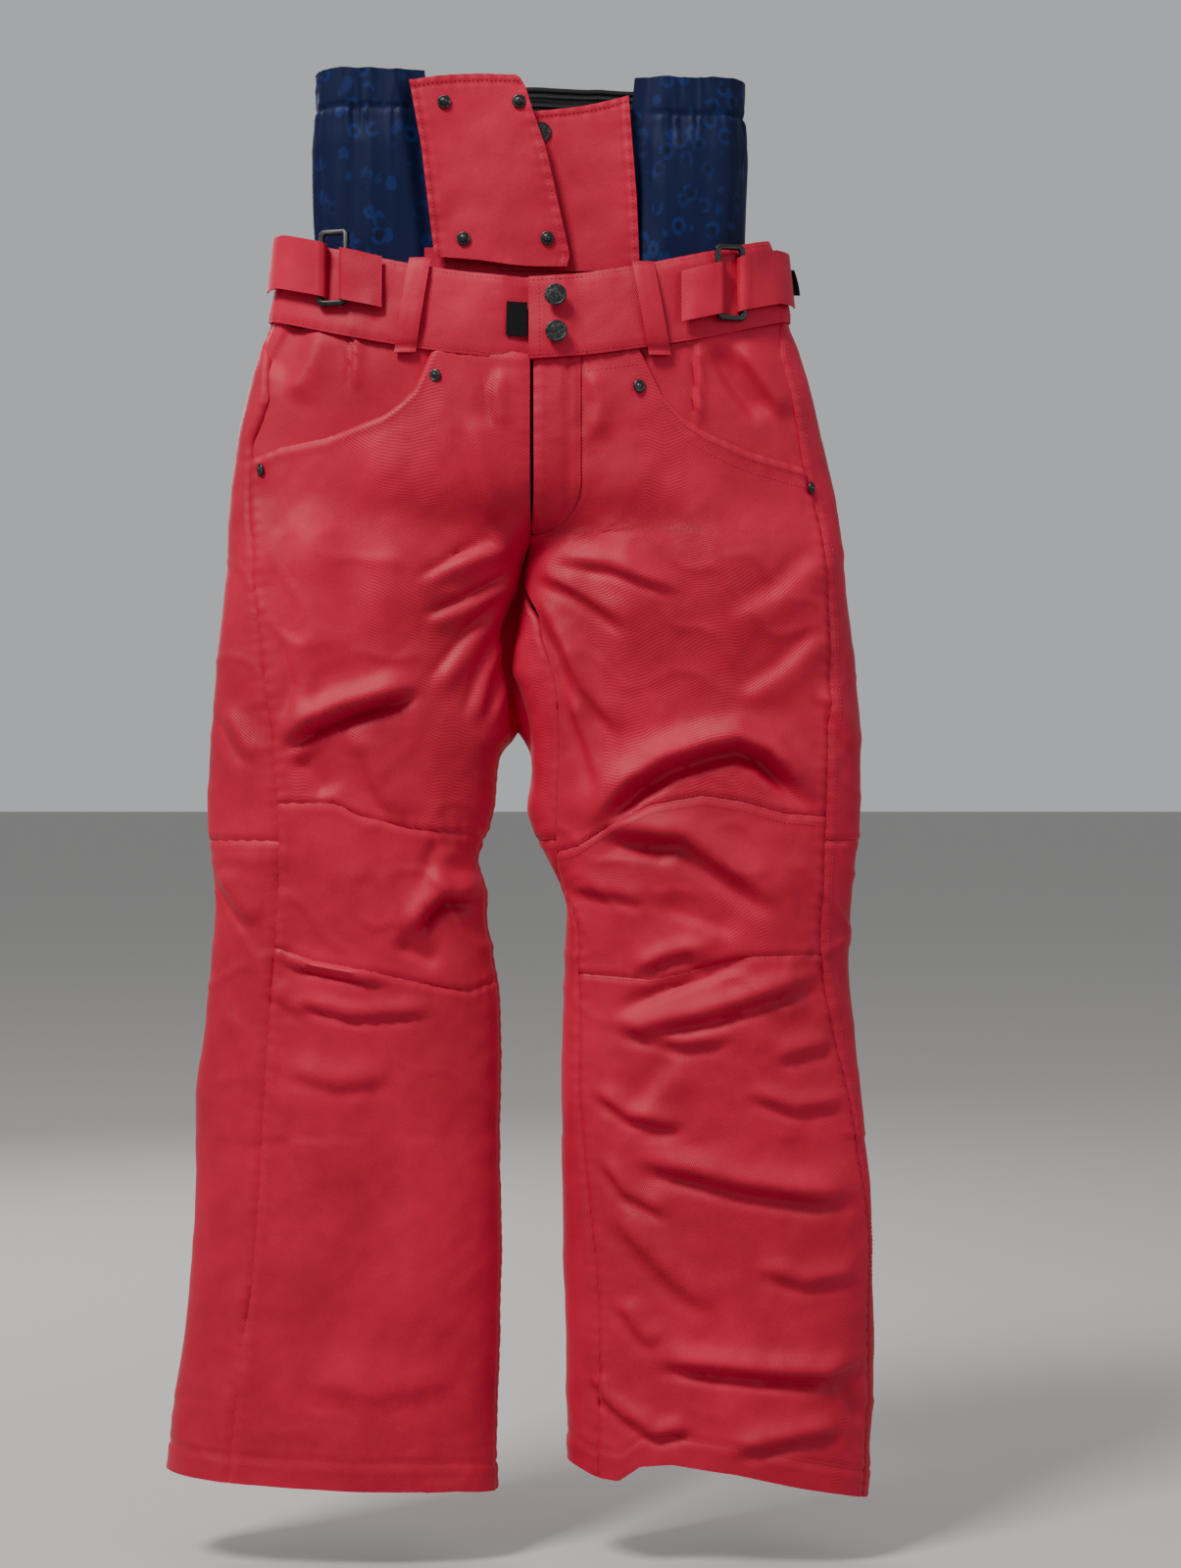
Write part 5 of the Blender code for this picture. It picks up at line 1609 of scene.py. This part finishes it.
for side in sign:
    t, turn = np.linspace(0, 1, 44)[:, None], np.linspace(0, 360, 150)[None, :]
    z = cuff["top"] - cuff["fall"] * t + 0 * turn
    ruffle = cuff["ruffle"] * wobble(turn / 360 * 0.5, z, 0.012, 110, 5.0) * ease((t - 0.1) / 0.8)
    ruffle[:, -1] = ruffle[:, 0]
    inset = 0.0095 + 0.0065 * t + ruffle + 0.0012 * np.exp(-(((t - 0.84) / 0.03) ** 2))
    grid = sectionPoint(side, turn, z, inset)
    outward = grid - np.array([sign[side] * cuff["middle"], 0, 0])
    made = gridShell(f"snowCuff_{side}", grid, cuff["thick"], "cuffCloth", outward)
    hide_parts(f"snow_gaiter_{side}")
    settle(made, f"shin_{side}")
    declare(grid)
print("pants: zip and cuffs made")

# Topstitching: one tree lays short stitches along every row.

stitch = {"pitch": 0.0034, "long": 0.0023, "wide": 0.00042, "lift": 0.00022}


def socketOf(tree, name):
    return next(i.identifier for i in tree.interface.items_tree if i.item_type == "SOCKET" and i.name == name)


def buildRepeatTree(name, finish, sides=5):
    # lays a small capsule at equal steps along each line, turned to follow it
    tree = bpy.data.node_groups.new(name, "GeometryNodeTree")
    tree.interface.new_socket("Lines", in_out="INPUT", socket_type="NodeSocketGeometry")
    for label, value in (("Pitch", stitch["pitch"]), ("Length", stitch["long"]), ("Width", stitch["wide"])):
        made = tree.interface.new_socket(label, in_out="INPUT", socket_type="NodeSocketFloat")
        made.default_value = value
    tree.interface.new_socket("Stitches", in_out="OUTPUT", socket_type="NodeSocketGeometry")
    wire = Wire(tree)
    given = tree.nodes.new("NodeGroupInput")
    lines, pitch, length, width = (Wire(tree, given.outputs[k]) for k in range(4))
    spaced = wire.node("GeometryNodeResampleCurve", {"mode": "LENGTH"}, {"Curve": lines, "Length": pitch})
    ball = wire.node("GeometryNodeMeshUVSphere", {}, {"Segments": sides, "Rings": 4, "Radius": 0.5})
    tangent = wire.node("GeometryNodeInputTangent")
    turn = wire.node("FunctionNodeAlignRotationToVector", {"axis": "Z"}, {"Vector": tangent})
    size = wire.node("ShaderNodeCombineXYZ", {}, {0: width, 1: width, 2: length})
    placed = wire.node(
        "GeometryNodeInstanceOnPoints", {},
        {"Points": spaced, "Instance": ball, "Rotation": turn, "Scale": size},
    )
    solid = wire.node("GeometryNodeRealizeInstances", {}, {"Geometry": placed})
    final = wire.node("GeometryNodeSetMaterial", {}, {"Geometry": solid, "Material": finishes[finish]})
    given = tree.nodes.new("NodeGroupOutput")
    tree.links.new(final.socket, given.inputs[0])
    return tree


stitchTree = buildRepeatTree("stitchRow", "coralThread")
toothTree = buildRepeatTree("zipTeeth", "gunMetal", 6)


def repeatAlong(name, tree, rows, finish, sizes=None):
    # rows are lists of points; the result is one plain mesh
    curve = bpy.data.curves.new(name + "Lines", "CURVE")
    curve.dimensions = "3D"
    for row in rows:
        spline = curve.splines.new("POLY")
        spline.points.add(len(row) - 1)
        spline.points.foreach_set("co", np.concatenate([row, np.ones((len(row), 1))], axis=1).ravel())
    guide = addObject(name + "Lines", curve)
    layer = guide.modifiers.new("rows", "NODES")
    layer.node_group = tree
    for label, value in (sizes or {}).items():
        layer[socketOf(tree, label)] = value
    mesh = bpy.data.meshes.new_from_object(guide.evaluated_get(bpy.context.evaluated_depsgraph_get()))
    guide.modifiers.clear()
    bpy.data.objects.remove(guide)
    mesh.shade_smooth()
    mesh.materials.clear()
    mesh.materials.append(finishes[finish])
    return addObject(name, mesh)


def seamRow(panel, edge, away):
    # a line on the finished cloth, at a distance from one of its edges
    facts = panels[panel]
    outer, normal, distance = facts["outer"], facts["normal"], facts["distance"][edge]
    surface = outer + normal * stitch["lift"]
    if edge in "tb":
        surface, distance = surface.transpose(1, 0, 2), distance.T
    if edge in "rb":
        surface, distance = surface[:, ::-1], distance[:, ::-1]
    found = []
    for points, steps in zip(surface, distance):
        if steps[-1] > away * 1.2:
            found.append([np.interp(away, steps, points[:, k]) for k in range(3)])
    return np.array(found)


# each cut's rows, as an edge and a distance from it
seamRows = {
    "front": [("t", 0.0060), ("t", 0.0165), ("b", 0.0016)],
    "back": [("r", 0.0016), ("r", 0.0070), ("b", 0.0016)],
    "knee": [("t", 0.0016), ("t", 0.0070)],
    "shinFront": [("t", 0.0016), ("b", 0.0215)],
    "shinBack": [("t", 0.0016), ("r", 0.0016), ("r", 0.0070), ("b", 0.0215)],
}


def panelRows(side, *cuts):
    return [seamRow(f"{cut}_{side}", edge, away) for cut in cuts for edge, away in seamRows[cut]]


for side in sign:
    rows = panelRows(side, "front", "back")
    if side == "right":
        rows.append(seamRow("back_right", "l", 0.0030))
    made = repeatAlong(f"hipStitches_{side}", stitchTree, [r for r in rows if len(r) > 2], "coralThread")
    settle(made, blend=hipBlend[side])
    rows = panelRows(side, "knee", "shinFront", "shinBack")
    made = repeatAlong(f"legStitches_{side}", stitchTree, rows, "coralThread")
    settle(made, blend=kneeBlend[side])

rows = []
for name, outer in bandPieces.items():
    normal = outwardNormals(outer)
    if name != "waistOverlap":
        rows += [outer[1] + normal[1] * 0.0001, outer[-2] + normal[-2] * 0.0001]
settle(repeatAlong("bandStitches", stitchTree, rows, "coralThread"), "hips")
outer = bandPieces["waistOverlap"]
rows = [row + [0, -0.0003, 0] for row in (outer[1], outer[-2], outer[1:-1, -3])]
settle(repeatAlong("overlapStitches", stitchTree, rows, "coralThread"), "fly_flap")

for side in sign:
    grid = flapGrid(side)
    edges = (2, -3) if side == "right" else (-3, 2)
    rows = [grid[2:-1, edges[0]], grid[2:-1, edges[1]], grid[2, 2:-2]]
    made = repeatAlong(f"flapStitches_{side}", stitchTree, [r + [0, -0.0004, 0] for r in rows], "coralThread")
    settle(made, f"gaiter_flap_{side}")

teeth = {"Pitch": 0.0021, "Length": 0.0011, "Width": 0.0026}
rows = [zipLine(zipFacts["x"] + edge * 0.0012, 60, -0.0004) for edge in (-1, 1)]
settle(repeatAlong("zipTeethRow", toothTree, rows, "gunMetal", teeth), "hips")
print("pants: stitches and teeth laid")
